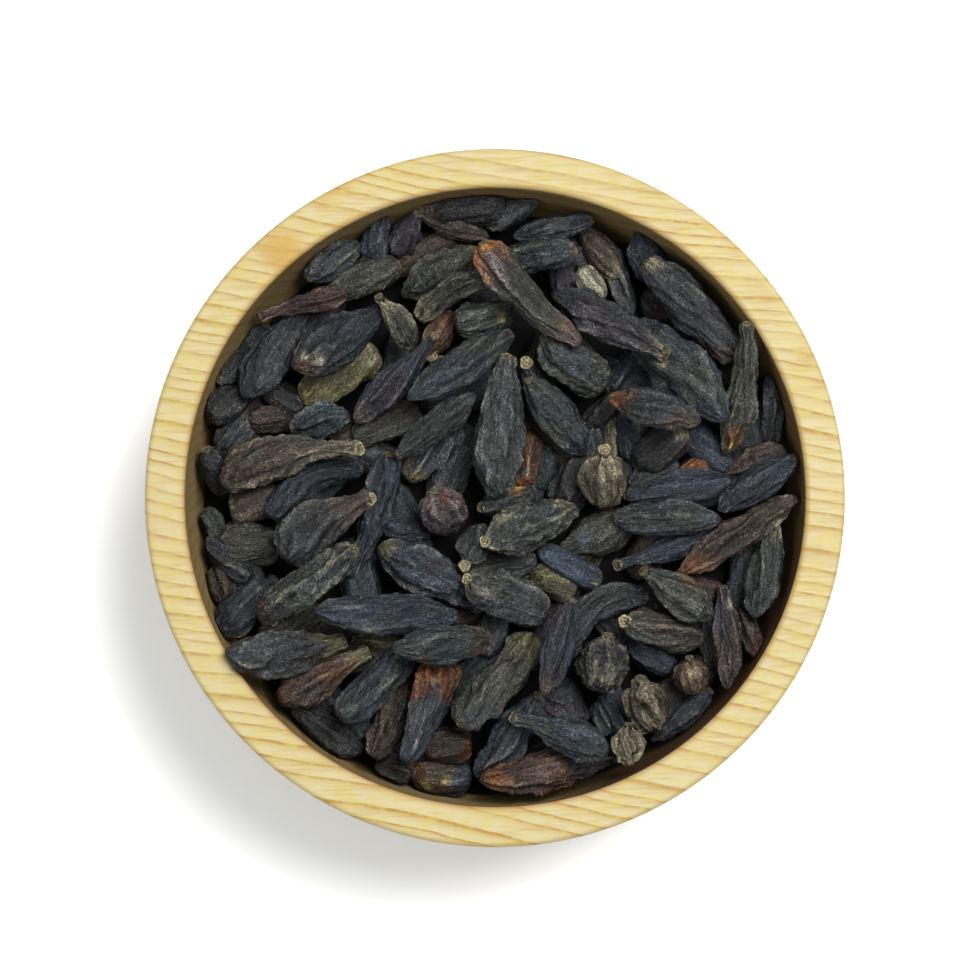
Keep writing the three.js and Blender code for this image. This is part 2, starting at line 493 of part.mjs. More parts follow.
function bedGeometry() {
  let bed = insideSolid(bedLevel - coreEdgeDrop, bedLevel - coreDrop);
  lowFruits.forEach((fruit, index) => {
    const upper = fruit.layer > 0;
    const rings = chosen(shapes[fruit.shape], upper ? lowRings : deepRings);
    bed = bed.add(solidOf(geometryOf(lowSurface(fruit, upper ? lowSides : deepSides, rings, lowSeed + index))));
  });
  deeperFruits().forEach((fruit, index) => {
    const rings = chosen(shapes[fruit.shape], hiddenRings);
    bed = bed.add(solidOf(geometryOf(lowSurface(fruit, deepSides, rings, hiddenSeed + index))));
  });
  bed = bed.intersect(insideSolid(bowlHeight, bowlHeight));
  const bodies = bed.decompose().filter((body) => body.volume() > 0); // leaves out small hollows sealed inside
  return geometryOfSolid(wasm.Manifold.union(bodies));
}

function named(name, geometry, material) {
  const mesh = new THREE.Mesh(geometry, material);
  mesh.name = name;
  return mesh;
}

const group = new THREE.Group();

const bowl = bowlGeometry();
stamp(surfaceOf(bowl));
group.add(named("bowl", bowl, woodMaterial));

const bed = bedGeometry();
stamp(surfaceOf(bed));
group.add(named("fruit_bed", bed, bedMaterial));

topFruits.forEach((fruit, index) => {
  const surface = settled(fruit, topSeed + index);
  stamp(surface);
  group.add(named(fruit.name, geometryOf(surface), fruitMaterial));
});

export default group;
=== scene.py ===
# The looks of a turned pine bowl heaped with dried black myrobalan fruits.
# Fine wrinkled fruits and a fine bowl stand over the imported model, in metres, with sizes below in millimetres.
import math

import bpy
import numpy as np
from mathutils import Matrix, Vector


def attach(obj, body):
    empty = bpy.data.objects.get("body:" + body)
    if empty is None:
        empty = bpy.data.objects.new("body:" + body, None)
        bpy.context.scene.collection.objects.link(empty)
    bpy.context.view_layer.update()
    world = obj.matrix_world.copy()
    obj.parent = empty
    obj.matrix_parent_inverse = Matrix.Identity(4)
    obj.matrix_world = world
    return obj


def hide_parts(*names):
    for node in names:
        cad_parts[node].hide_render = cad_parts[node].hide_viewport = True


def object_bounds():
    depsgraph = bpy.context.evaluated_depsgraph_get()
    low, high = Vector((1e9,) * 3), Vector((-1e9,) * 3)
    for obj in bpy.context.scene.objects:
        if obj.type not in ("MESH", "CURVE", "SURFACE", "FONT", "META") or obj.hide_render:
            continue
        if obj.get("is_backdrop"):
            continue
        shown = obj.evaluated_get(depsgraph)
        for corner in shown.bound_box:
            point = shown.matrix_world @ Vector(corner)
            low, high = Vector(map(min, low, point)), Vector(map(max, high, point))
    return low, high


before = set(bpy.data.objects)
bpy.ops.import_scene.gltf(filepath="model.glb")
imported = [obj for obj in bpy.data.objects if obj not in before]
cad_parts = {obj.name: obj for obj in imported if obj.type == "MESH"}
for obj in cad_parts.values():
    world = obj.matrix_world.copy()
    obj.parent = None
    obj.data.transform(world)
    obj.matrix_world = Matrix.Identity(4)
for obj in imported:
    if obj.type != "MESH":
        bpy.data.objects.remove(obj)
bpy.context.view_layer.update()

# The values to change stand beside the code that uses them, and the ones that many share stand here.
# Lengths are in millimetres, and colours are as seen on a screen.
mm = 0.001
bowl = {
    "height": 52,
    "rim": 70,
    "mouth": 62,
    "foot": 36,
    "footChamfer": 0.8,
    "floor": 8,
    "shoulder": 46,
    "edge": 1.0,
    "fullness": 6,
    "sides": 256,
    "light": "#a39770",
    "line": "#886820",
    "edgeLine": "#8a6430",
    "pink": "#9b8064",
    "mottle": "#a0934e",
    # The inside colours are partly the wood's own brown and partly painted shade.
    "insideRedAndShade": "#4c2a16",
    "inside": "#69512f",
    "insideLinesAndShade": "#3a2414",
    "gold": "#967018",
    "lineGap": 2.7,
    "lineWay": (0.17, 0.95, 0.28),
    "lineBow": 13,
    "lineWaver": 0.7,
    "lineBump": 0.06,
    "blotch": (-42.6, 49.2, 50),
    "blotchReach": 5,
    "partingSlope": 1.45,
    "parting": 33,
}
# Points along and around a fruit that lies on top, lower or deep down, and around a scar.
detail = {"top": (76, 60), "low": (46, 38), "deep": (26, 22), "scar": 20}
colours = {
    "blueBlack": "#21262d",
    "slate": "#2a323c",
    "teal": "#2a3436",
    "greyGreen": "#343936",
    "grey": "#37393b",
    "greyOlive": "#3f3f36",
    "olive": "#56523a",
    "oliveYellow": "#66603c",
    "purple": "#2e2a32",
    "dark": "#202022",
    "brown": "#3f332b",
    "darkBrown": "#33291f",
    "umber": "#665c4b",
    "reddish": "#4f3626",
    "darkRed": "#3d2b25",
    "orange": "#86552c",
    "orangeRed": "#643719",
    "khaki": "#7f775e",
    "scar": "#a89d72",
    "tan": "#a08a66",
    "pale": "#9b967f",
    "white": "#cbc5b4",
    "yellow": "#b8a055",
    "pinkish": "#625450",
    "gold": "#b07422",
    "blueGrey": "#36414e",
}

# Shapes as rings from the stalk end to the tip: place along the length, share of the half width.
shapes = {
    "pear": [
        (0, 0.32), (0.09, 0.42), (0.22, 0.66), (0.4, 0.92), (0.58, 1.04), (0.77, 0.96), (0.89, 0.64),
        (0.97, 0.27),
    ],
    "club": [
        (0, 0.34), (0.13, 0.38), (0.27, 0.52), (0.42, 0.82), (0.6, 1.04), (0.79, 1), (0.92, 0.7), (0.98, 0.36),
    ],
    "spindle": [
        (0, 0.3), (0.06, 0.52), (0.19, 0.84), (0.38, 1.04), (0.58, 1.04), (0.76, 0.87), (0.89, 0.54),
        (0.97, 0.24),
    ],
    "capsule": [
        (0, 0.4), (0.04, 0.68), (0.15, 0.94), (0.36, 1.06), (0.62, 1.06), (0.83, 0.96), (0.95, 0.68),
        (0.99, 0.38),
    ],
    "taper": [
        (0, 0.44), (0.04, 0.78), (0.15, 1.04), (0.34, 1.02), (0.54, 0.86), (0.74, 0.66), (0.9, 0.5),
        (0.98, 0.32),
    ],
    "round": [
        (0, 0.26), (0.07, 0.36), (0.18, 0.78), (0.36, 1.02), (0.56, 1.04), (0.75, 0.92), (0.9, 0.64),
        (0.97, 0.34),
    ],
}

# Lower fruits measured in the photo: stalk end x y, tip x y, width, shape, layer, bend, lean.
lowFruits = [
    (-46.3, 35.6, -51.4, 27.8, 5.4, "capsule", 0, 0, 0),
    (-49.7, 16.7, -41, 16.5, 5.2, "capsule", 1, 0, 0),
    (-38.9, 20, -23.9, 30.8, 7.4, "capsule", 2, 0, 0),
    (-38.1, 44.9, -27.2, 52, 6.4, "spindle", 1, 0, 0),
    (-22.5, 58.1, -25.8, 47.2, 5.8, "pear", 1, 0, 0),
    (-15.6, 58.1, -20.9, 49.4, 6.4, "pear", 0, 0, 0),
    (-19.6, 47.8, -33.8, 42.3, 6.4, "capsule", 2, 0, 0),
    (-15.2, 58.7, -1, 53.3, 5.6, "spindle", 1, 0, 0),
    (-13.2, 58.7, 2.4, 59.5, 7.2, "capsule", 0, 0, 0),
    (8.3, 60.8, -1.8, 55.3, 5.8, "pear", 2, 0, 0),
    (13.6, 49.8, 14, 40.1, 5.4, "spindle", 1, 0, 0),
    (17.7, 47.4, 21.3, 40.5, 5, "capsule", 1, 0, 0),
    (17.9, 55, 24.9, 45, 5.8, "spindle", 1.4, 0, 0),
    (15, 50.2, 23.8, 44.7, 4, "spindle", 0, 0, 0),
    (21.8, 53.8, 27.8, 36, 4.6, "spindle", 0.4, 0.6, 0),
    (29.1, 54.7, 32.5, 43.3, 7, "spindle", 0, 0, 0),
    (44.1, 35.6, 51.8, 28, 5.4, "capsule", 0, 0, 0),
    (46.3, 29.1, 51.4, 20.9, 5.4, "capsule", 0, 0, 0),
    (56.9, 25.4, 55.5, 10.8, 5, "capsule", 0, 0, 0),
    (46.3, 6, 59.2, 9.4, 7, "pear", 1, 0, 0),
    (26.6, 0.9, 53.8, 3.1, 7.8, "spindle", 1, 0, 0),
    (24.7, -13.2, 44, -6.9, 5.8, "club", 2, 0, 0),
    (13.6, -10, 28.4, -4, 8.8, "pear", 1, 0, 0),
    (9.1, -10.1, 21.5, -17, 5, "capsule", 2, 0, 0),
    (7.7, -14.3, 16.2, -19.2, 5.6, "capsule", 1, 0, 0),
    (23.7, 17.1, 23.7, 8, 3.4, "spindle", 1, 0, 0),
    (18.9, 16.3, 20.7, 6.1, 6, "capsule", 0, 0, 0),
    (28, 19.8, 27.6, 7.6, 6.2, "capsule", 1, 0, 0),
    (22.6, 22.6, 30.7, 30.3, 6, "capsule", 0, 0, 0),
    (28.4, 7.1, 38.9, 14.4, 7.6, "capsule", 2, 0, 0),
    (38.6, 15.1, 48.1, 5.8, 6.2, "capsule", 1, 0, 0),
    (37.5, 5.6, 45.7, 8.4, 4.2, "spindle", 1, 0, 0),
    (27.2, 3.3, 37.5, 7.2, 5.2, "capsule", 1, 0, 0),
    (-8.3, 37.9, -14.4, 28.8, 5.4, "spindle", 2, 0, 0),
    (-28.4, 12.4, -14.8, 18, 6, "capsule", 2, 0, 0),
    (-33.7, 13.8, -27, 15.2, 5.6, "capsule", 0, 0, 0),
    (6.3, 27.5, 10.7, 20, 6.4, "pear", 2, 0, -6),
    (7.5, 13.7, 4.9, 2.7, 6.2, "capsule", 1, 0, 0),
    (11.2, 11.6, 8.5, 2.2, 5.4, "capsule", 0, 0, 0),
    (19.7, 9.1, 12.6, -1, 8, "capsule", 0, 0, 0),
    (18.7, 14.7, 25.2, 21.4, 5, "capsule", 1, 0, 0),
    (-12.8, 29.1, -9.1, 23.6, 5.6, "pear", 1, 0, -4),
    (-43.1, 0.6, -53.7, -2, 7, "capsule", 2, 0, 0),
    (-55.8, -8.4, -43.2, -9.2, 8, "capsule", 1, 0, 0),
    (-57.8, -7.6, -49.7, -16.5, 5.6, "capsule", 1, 0, 0),
    (-55.5, -12.6, -54.7, -20.7, 5.6, "capsule", 0, 0, 0),
    (-58.3, -1.6, -55.1, -8.7, 4.4, "capsule", 0, 0, 0),
    (-44, -16.1, -56.6, -26.9, 7.8, "pear", 1, 0, 0),
    (-47.2, -27.8, -35, -21.9, 5.8, "capsule", 1.4, 0, 0),
    (-40.6, -29.7, -28.8, -24, 5.6, "capsule", 0.4, 0, 0),
    (-28.9, -28, -17.7, -30.9, 6.4, "pear", 0, 0, 0),
    (-40.2, -42.1, -26.8, -51.2, 7.4, "pear", 0, 0, 0),
    (-14.6, -49.6, -4.7, -49, 7.4, "capsule", 2, 0, 0),
    (-16.7, -55.1, -4.7, -56.5, 7.4, "capsule", 0, 0, 0),
    (43.7, -38.4, 31.5, -48.8, 5.4, "spindle", 0, 0, 0),
    (-2.8, -1.6, 8.1, 1.4, 5, "capsule", 2, 0, 0),
    (-51.1, 21.6, -58.4, 17.1, 7, "capsule", 1, 0, 0),
    (-49.4, 16.3, -56.5, 10.6, 6.4, "capsule", 0, 0, 0),
    (-58.3, 10, -53.4, 1.6, 5.8, "capsule", 0, 0, 0),
    (-55.5, 24, -50.2, 29.5, 5.4, "capsule", 0, 0, 0),
    (-46.3, 23, -37.9, 18.2, 5.6, "capsule", 1, 0, 0),
    (-22.7, -5, -12.6, -7, 4.6, "spindle", 1, 0, 0),
    (-5.5, -13.5, 8.7, -12.5, 5.6, "capsule", 1, 0, 0),
    (1.4, -22.2, -2.4, -31.6, 6.4, "capsule", 1, 0, 0),
    (-10.8, -24.4, -1.6, -22.4, 4.8, "capsule", 0, 0, 0),
    (-30, -41.1, -26.6, -48.4, 6, "capsule", 1, 0, 0),
    (-23.4, -51.8, -16.7, -55.9, 6, "capsule", 0, 0, 0),
    (9.2, -39.6, 18.9, -44.7, 6.4, "capsule", -0.5, 0, 0),
    (23.1, -37.6, 25.8, -47.2, 5.4, "capsule", 1, 0, 0),
    (21.1, -40.6, 23.2, -47.6, 4.2, "capsule", 0, 0, 0),
    (27.4, -28.7, 35.9, -34.6, 5.6, "capsule", 1, 0, 0),
    (49.6, -22.1, 53.1, -31.7, 4.4, "capsule", -0.6, 0, 0),
    (43.1, -23.2, 44.1, -34.6, 5, "capsule", 0, 0, 0),
    (39, -16.7, 46.3, -19.1, 4.6, "capsule", 0, 0, 0),
    (21.2, -22.9, 24.6, -27.8, 4.6, "capsule", -0.6, 0, 0),
]

# The looks of the top fruits. skin is the colour, and cast lies over it in patches. stalk and tip colour the ends,
# as far as stalkTo and from tipFrom on. ridges counts the ridges, ridge is how deep they are, net how netted the
# skin is, soft how much of its wrinkles is left, and speck how pale its crests are, partly dust and partly painted
# highlight. nod is how far the stalk's scar turns up, in radians, scar is its radius and scarColour its colour.
looks = {
    "fruit_01": {"skin": "blueBlack", "cast": "grey"},
    "fruit_02": {"skin": "greyOlive", "cast": "greyGreen"},
    "fruit_03": {"skin": "grey", "cast": "slate", "tip": "umber", "tipFrom": 0.76, "ridge": 1.4},
    "fruit_04": {"skin": "teal", "cast": "slate", "ridge": 1.7, "dustAndSheen": 1.7},
    "fruit_05": {"skin": "blueBlack"},
    "fruit_06": {"skin": "blueBlack", "cast": "slate", "ridge": 1.5},
    "fruit_07": {"skin": "brown", "cast": "reddish", "stalk": "khaki", "ridge": 1.2},
    "fruit_08": {"skin": "darkBrown", "cast": "brown", "ridges": 5, "ridge": 1.9},
    "fruit_09": {"skin": "grey", "cast": "slate", "ridges": 6, "ridge": 2.0},
    "fruit_10": {
        "skin": "darkRed", "cast": "reddish", "stalk": "purple", "stalkTo": 0.25, "ridges": 6, "ridge": 2.2,
        "dustAndSheen": 1.5,
    },
    "fruit_11": {"skin": "pinkish", "cast": "purple", "net": 0.3, "ridge": 0.8},
    "fruit_12": {
        "skin": "grey", "cast": "purple", "stalk": "khaki", "stalkTo": 0.0, "tip": "brown", "tipFrom": 0.85,
        "ridge": 1.2,
    },
    "fruit_13": {"skin": "greyOlive", "tip": "reddish", "tipFrom": 0.9, "ridge": 1.2},
    "fruit_14": {"skin": "greyGreen", "stalk": "khaki", "ridge": 1.3},
    "fruit_15": {"skin": "darkBrown", "cast": "brown", "stalk": "khaki", "stalkTo": 0.06, "ridge": 1.4},
    "fruit_16": {"skin": "purple", "cast": "brown", "ridge": 1.4},
    "fruit_17": {"skin": "blueBlack", "cast": "slate", "ridge": 1.4},
    "fruit_18": {"skin": "grey", "cast": "slate"},
    "fruit_19": {"skin": "greyGreen", "cast": "slate"},
    "fruit_20": {"skin": "greyOlive", "cast": "greyGreen", "net": 0.6},
    "fruit_21": {"skin": "darkRed", "cast": "reddish", "stalk": "pinkish", "stalkTo": 0.1, "ridge": 1.3},
    "fruit_22": {"skin": "blueBlack", "tip": "brown", "tipFrom": 0.86},
    "fruit_23": {"skin": "greyOlive", "stalk": "khaki", "ridge": 1.4},
    "fruit_24": {"skin": "greyOlive", "stalk": "khaki", "stalkTo": 0.1, "ridge": 1.6},
    "fruit_25": {"skin": "greyGreen", "cast": "grey"},
    "fruit_26": {"skin": "greyGreen", "cast": "greyOlive", "net": 0.7},
    "fruit_27": {"skin": "greyGreen", "cast": "slate"},
    "fruit_28": {"skin": "grey", "cast": "brown", "stalk": "orange", "stalkTo": 0.13, "nod": 0.1, "ridge": 1.1},
    "fruit_29": {"skin": "greyGreen", "cast": "slate", "ridge": 1.1},
    "fruit_30": {
        "skin": "umber", "cast": "khaki", "ridges": 6, "ridge": 1.5, "net": 0, "soft": 0.8, "nod": 0.6,
        "scar": 1.3,
    },
    "fruit_31": {
        "skin": "brown", "cast": "greyOlive", "stalk": "umber", "stalkTo": 0.3, "nod": 0.7, "scar": 1.4,
        "net": 0.8, "ridge": 1.3, "dustAndSheen": 1.3,
    },
    "fruit_32": {
        "skin": "grey", "cast": "dark", "stalk": "brown", "stalkTo": 0.3, "nod": 1.0, "scar": 1.4, "ridge": 1.3,
    },
    "fruit_33": {"skin": "slate", "cast": "purple", "tip": "olive", "tipFrom": 0.85, "net": 0.8, "ridge": 1.2},
    "fruit_34": {"skin": "greyGreen", "cast": "dark", "tip": "reddish", "tipFrom": 0.9, "net": 0.9, "dustAndSheen": 1.2},
    "fruit_35": {"skin": "grey", "cast": "dark", "stalk": "olive", "stalkTo": 0.25, "ridge": 1.4, "dustAndSheen": 1.4},
    "fruit_36": {"skin": "greyGreen", "cast": "slate", "ridge": 1.2},
    "fruit_37": {"skin": "grey", "cast": "slate", "stalk": "orangeRed", "stalkTo": 0.3, "ridge": 1.3},
    "fruit_38": {"skin": "dark", "cast": "greyOlive", "net": 1.0, "dustAndSheen": 1.1},
    "fruit_39": {"skin": "umber", "cast": "darkBrown", "ridges": 4, "ridge": 2.0},
    "fruit_40": {"skin": "khaki", "cast": "umber", "ridges": 3, "ridge": 2.6, "net": 0, "scarColour": "khaki"},
    "fruit_41": {
        "skin": "reddish", "cast": "umber", "ridges": 9, "ridge": 0.7, "net": 0.4, "soft": 0.55,
        "scarColour": "khaki",
    },
    "fruit_42": {"skin": "greyGreen", "cast": "slate", "ridges": 8, "ridge": 1.9, "net": 0.1},
    "fruit_43": {"skin": "greyOlive", "cast": "brown", "nod": 1.2, "scar": 1.3},
    "fruit_44": {"skin": "greyGreen", "cast": "slate"},
    "fruit_45": {"skin": "greyOlive", "cast": "greyGreen", "ridge": 0.9, "net": 0.6},
    "fruit_46": {"skin": "greyOlive", "cast": "grey", "nod": 1.1, "scar": 1.2},
    "fruit_47": {"skin": "greyGreen", "cast": "greyOlive", "nod": 0.8, "scar": 1.2, "net": 1.0, "dustAndSheen": 1.9},
    "fruit_48": {"skin": "grey", "cast": "greyOlive", "nod": 0.8, "scar": 1.1, "net": 0.6},
    "fruit_49": {"skin": "slate", "cast": "grey", "ridge": 0.8},
    "fruit_50": {"skin": "teal", "cast": "greyGreen", "stalk": "brown"},
    "fruit_51": {
        "skin": "greyOlive", "cast": "grey", "tip": "olive", "tipFrom": 0.75, "ridges": 8, "ridge": 2.2,
        "net": 0,
    },
    "fruit_52": {"skin": "blueBlack", "cast": "purple", "tip": "brown", "tipFrom": 0.85, "ridges": 5, "ridge": 1.9},
    "fruit_53": {"skin": "greyGreen", "cast": "slate", "nod": 0.7, "scar": 1.1},
    "fruit_54": {"skin": "grey", "cast": "purple", "stalk": "khaki", "stalkTo": 0.06, "ridge": 1.6},
    "fruit_55": {"skin": "purple", "cast": "slate", "tip": "pinkish", "tipFrom": 0.86, "nod": 0.5, "ridge": 1.2},
    "fruit_56": {"skin": "greyGreen", "cast": "slate", "ridge": 1.1},
    "fruit_57": {
        "skin": "greyOlive", "cast": "grey", "stalk": "orange", "stalkTo": 0.1, "tip": "pinkish",
        "tipFrom": 0.78, "ridges": 5, "ridge": 1.7,
    },
    "fruit_58": {"skin": "greyGreen", "cast": "grey", "ridge": 1.1},
}

# The skin colours of the lower fruits that aren't plain dark ones, by row, with the tip's where it differs.
lowLooks = {
    1: ("brown", "darkBrown"), 2: ("oliveYellow", "khaki"), 4: ("slate", None), 6: ("greyOlive", None),
    7: ("brown", "greyOlive"), 9: ("grey", None), 10: ("purple", None), 11: ("pale", None), 12: ("brown", "khaki"),
    13: ("darkRed", None), 14: ("grey", None), 15: ("slate", None), 18: ("grey", None), 19: ("brown", None),
    20: ("slate", None), 21: ("slate", None), 22: ("greyOlive", None), 23: ("blueGrey", "teal"),
    24: ("olive", "umber"), 25: ("khaki", None), 29: ("dark", "khaki"), 30: ("slate", None),
    31: ("orange", "brown"), 32: ("grey", None), 33: ("reddish", None), 34: ("greyOlive", "brown"),
    35: ("brown", None), 36: ("grey", None), 37: ("reddish", "orangeRed"), 41: ("greyOlive", None),
    42: ("brown", "umber"), 43: ("greyOlive", None), 45: ("darkBrown", "brown"), 46: ("greyGreen", None),
    47: ("blueBlack", None), 48: ("greyOlive", "brown"), 50: ("olive", "brown"), 51: ("dark", "grey"),
    52: ("darkBrown", "orangeRed"), 53: ("brown", "slate"), 54: ("blueBlack", None), 55: ("greyGreen", None),
    56: ("dark", None), 57: ("grey", None), 58: ("dark", None), 59: ("grey", None), 60: ("dark", None),
    61: ("slate", None), 62: ("grey", None), 67: ("purple", None), 68: ("slate", None), 69: ("teal", None),
    70: ("slate", None), 71: ("brown", "reddish"), 73: ("darkRed", None),
}

# Lower fruits with a smooth skin, by row.
lowSmooth = [11, 23, 24, 29, 30]

# Stalk scars of the lower fruits that face upward, by row: turn upward in radians, radius, brightness.
lowScars = {
    10: (0.6, 0.8, 0.6), 20: (0.6, 0.8, 0.4), 21: (0.8, 1.2, 0.42), 26: (1.0, 1.0, 0.8), 36: (1.3, 1.3, 0.75),
    40: (1.0, 1.3, 0.7), 41: (1.1, 1.2, 0.7), 55: (0.7, 1.1, 0.6),
}

# Marks on the top fruits: x, y, radius across, colour, strength. The small yellow one at 47.4, 10.6 and the blueGrey
# one at 13.6, -29.6 are painted glints.
spotsAndGlints = [
    (1.4, 36.5, 0.9, "yellow", 0.7), (-26, -32.2, 1.6, "khaki", 0.6), (31.6, 47.8, 1.3, "khaki", 0.9),
    (57.4, -5.2, 1.2, "pale", 0.8), (40.2, -14.2, 3.0, "orange", 0.7), (42.5, -15.2, 1.8, "tan", 0.7),
    (48, 11.8, 1.8, "orange", 0.9), (47.4, 10.6, 0.8, "yellow", 0.7), (47.4, -21.2, 0.9, "pale", 0.7),
    (16.6, 51.2, 1.0, "white", 0.9), (31.4, 49.0, 0.8, "khaki", 0.5), (-37.6, 26.2, 2.4, "reddish", 0.8),
    (-35.4, 27.2, 1.3, "pale", 0.6), (-38.2, 27.9, 0.9, "pale", 0.6), (-28.6, -9.4, 0.9, "yellow", 0.7),
    (38.6, -34.4, 1.0, "tan", 0.8), (2, -31.8, 2.2, "reddish", 0.5), (13.6, -29.6, 1.8, "blueGrey", 0.6),
    (10.4, -38.4, 1.6, "pinkish", 0.6), (33.4, 26.6, 1.2, "khaki", 0.8), (-1.4, 50.7, 1.3, "gold", 0.9),
    (1.2, 45.6, 3.2, "pinkish", 0.7), (-15.6, 1.8, 1.6, "reddish", 0.8), (-10.2, 0.2, 1.4, "orangeRed", 0.6),
    (13.6, 34, 2.6, "reddish", 0.5), (16.5, 27, 2.8, "blueGrey", 0.7), (-12.6, -36.4, 0.9, "tan", 0.7),
    (-14.8, -34.8, 1.8, "orange", 0.6), (0.5, -56.6, 2.4, "orange", 0.5), (9.2, -54.8, 1.5, "pinkish", 0.8),
    (12.4, -53.4, 1.3, "pinkish", 0.8), (-8.4, -50.6, 1.4, "orange", 0.4), (34.6, -34.4, 1.4, "khaki", 0.6),
]

# The same for the lower fruits. The pale one at 6.2, 5.6 is a painted glint, and the blueGrey ones at 17.6, -8.6 and
# 27.2, 51.2 are painted sheen.
lowSpotsAndGlints = [
    (6.2, 5.6, 0.8, "pale", 0.7), (4.2, 2.8, 1.6, "gold", 0.8), (-48.6, 15.8, 1.8, "pinkish", 0.7),
    (-53, -3.6, 1.6, "pinkish", 0.6), (-13.8, -57.4, 1.3, "yellow", 0.6), (-9.8, -56.4, 0.9, "yellow", 0.6),
    (-7.6, -56.4, 1.6, "blueGrey", 0.7), (-15.4, -54.8, 1.8, "orange", 0.6), (17.6, -8.6, 2.2, "blueGrey", 0.7),
    (20.8, -17.2, 0.9, "pale", 0.8), (9.8, -15.4, 1.8, "oliveYellow", 0.9), (-8.6, 31.6, 2.2, "reddish", 0.5),
    (27.2, 51.2, 2.0, "blueGrey", 0.8), (20.2, 46.4, 1.6, "darkRed", 0.7), (33.4, 38.8, 2.8, "darkRed", 0.9),
    (36.8, 38.2, 1.1, "khaki", 0.8),
]

# Dents in the top of the fruits, painted darker as the shade in them: x, y, radius across, depth.
dents = [
    (18.4, 17.0, 1.9, 1.6), (28.6, -52.6, 1.3, 1.4), (32.6, -3.2, 2.2, 0.9), (29.6, -42.4, 1.8, 1.6),
    (39.6, -45.2, 2.2, 2.4), (45, -15.8, 1.2, 0.7),
]


def draw(seed):
    wave = math.sin(seed * 12.9898 + 4.1) * 43758.5453
    return wave - math.floor(wave)


def linear(colour):
    channels = [int(colour[i : i + 2], 16) / 255 for i in (1, 3, 5)]
    return np.array([c / 12.92 if c <= 0.04045 else ((c + 0.055) / 1.055) ** 2.4 for c in channels])


def smooth(low, high, values):
    share = np.clip((values - low) / (high - low), 0, 1)
    return share * share * (3 - 2 * share)


# How fine the fruits' patterns are, in hills to a millimetre across, across and along a fruit.
grain = {
    "ridgeBend": (0.11, 0.11, 0.09),
    "ridgeFade": (0.16, 0.16, 0.12),
    "warp": (0.3, 0.3, 0.3),
    "wrinkle": (0.62, 0.62, 0.06),
    "fineWrinkle": (1.1, 1.1, 0.16),
    "net": (0.42, 0.42, 0.42),
    "fineNet": (0.8, 0.8, 0.8),
    "slack": (0.13, 0.13, 0.13),
    "lump": (0.32, 0.32, 0.22),
    "fineLump": (0.62, 0.62, 0.62),
    "furrow": (0.26, 0.26, 0.05),
    "patch": (0.2, 0.2, 0.12),
    "finePatch": (0.7, 0.7, 0.7),
    "ragged": (1.3, 1.3, 1.3),
    "fray": (0.9, 0.9, 0.9),
}


# Smooth random hills from about -1 to 1 over any points, as fine as the named grain.
def hills(points, kind, seed):
    points = points * np.array(grain[kind])
    cells = np.floor(points).astype(np.int64)
    inside = points - cells
    fade = inside**3 * (inside * (inside * 6 - 15) + 10)
    total = np.zeros(points.shape[:-1])
    for corner in range(8):
        step = np.array([corner & 1, corner >> 1 & 1, corner >> 2 & 1])
        place = cells + step
        mixed = (place[..., 0] * 374761393 + place[..., 1] * 668265263 + place[..., 2] * 2147483629) + seed * 1274126177
        mixed = (mixed ^ (mixed >> 13)) & 0xFFFFFFFF
        mixed = (mixed * 1103515245 + 12345) & 0xFFFFFFFF
        mixed = (mixed ^ (mixed >> 15)) & 0xFFFFFFFF
        mixed = (mixed * 2246822519 + 3266489917) & 0xFFFFFFFF
        slope = np.stack([(mixed & 1023), (mixed >> 10 & 1023), (mixed >> 20 & 1023)], -1) / 511.5 - 1
        weight = np.prod(np.where(step, fade, 1 - fade), -1)
        total += weight * np.sum(slope * (inside - step), -1)
    return total * 1.5


# Sharp lines where the hills cross their middle height: 1 on the line, 0 away from it.
def lines(points, kind, seed, sharp):
    return np.clip(1 - np.abs(hills(points, kind, seed)) * sharp, 0, 1)


# A curve through values at rising knots, sampled at many places.
def curveThrough(knots, values, places):
    gaps = np.diff(knots)
    flat = values.reshape(len(knots), -1)
    slopes = np.diff(flat, axis=0) / gaps[:, None]
    tangents = np.zeros_like(flat)
    weight = gaps[1:] / (gaps[:-1] + gaps[1:])
    tangents[1:-1] = slopes[:-1] * weight[:, None] + slopes[1:] * (1 - weight[:, None])
    tangents[0] = slopes[0]
    tangents[-1] = slopes[-1]
    part = np.clip(np.searchsorted(knots, places, side="right") - 1, 0, len(gaps) - 1)
    gap = gaps[part][:, None]
    u = ((places - knots[part]) / gaps[part])[:, None]
    a, b = flat[part], flat[part + 1]
    ta, tb = tangents[part] * gap, tangents[part + 1] * gap
    out = (2 * u**3 - 3 * u**2 + 1) * a + (u**3 - 2 * u**2 + u) * ta + (3 * u**2 - 2 * u**3) * b + (u**3 - u**2) * tb
    return out.reshape((len(places),) + values.shape[1:])


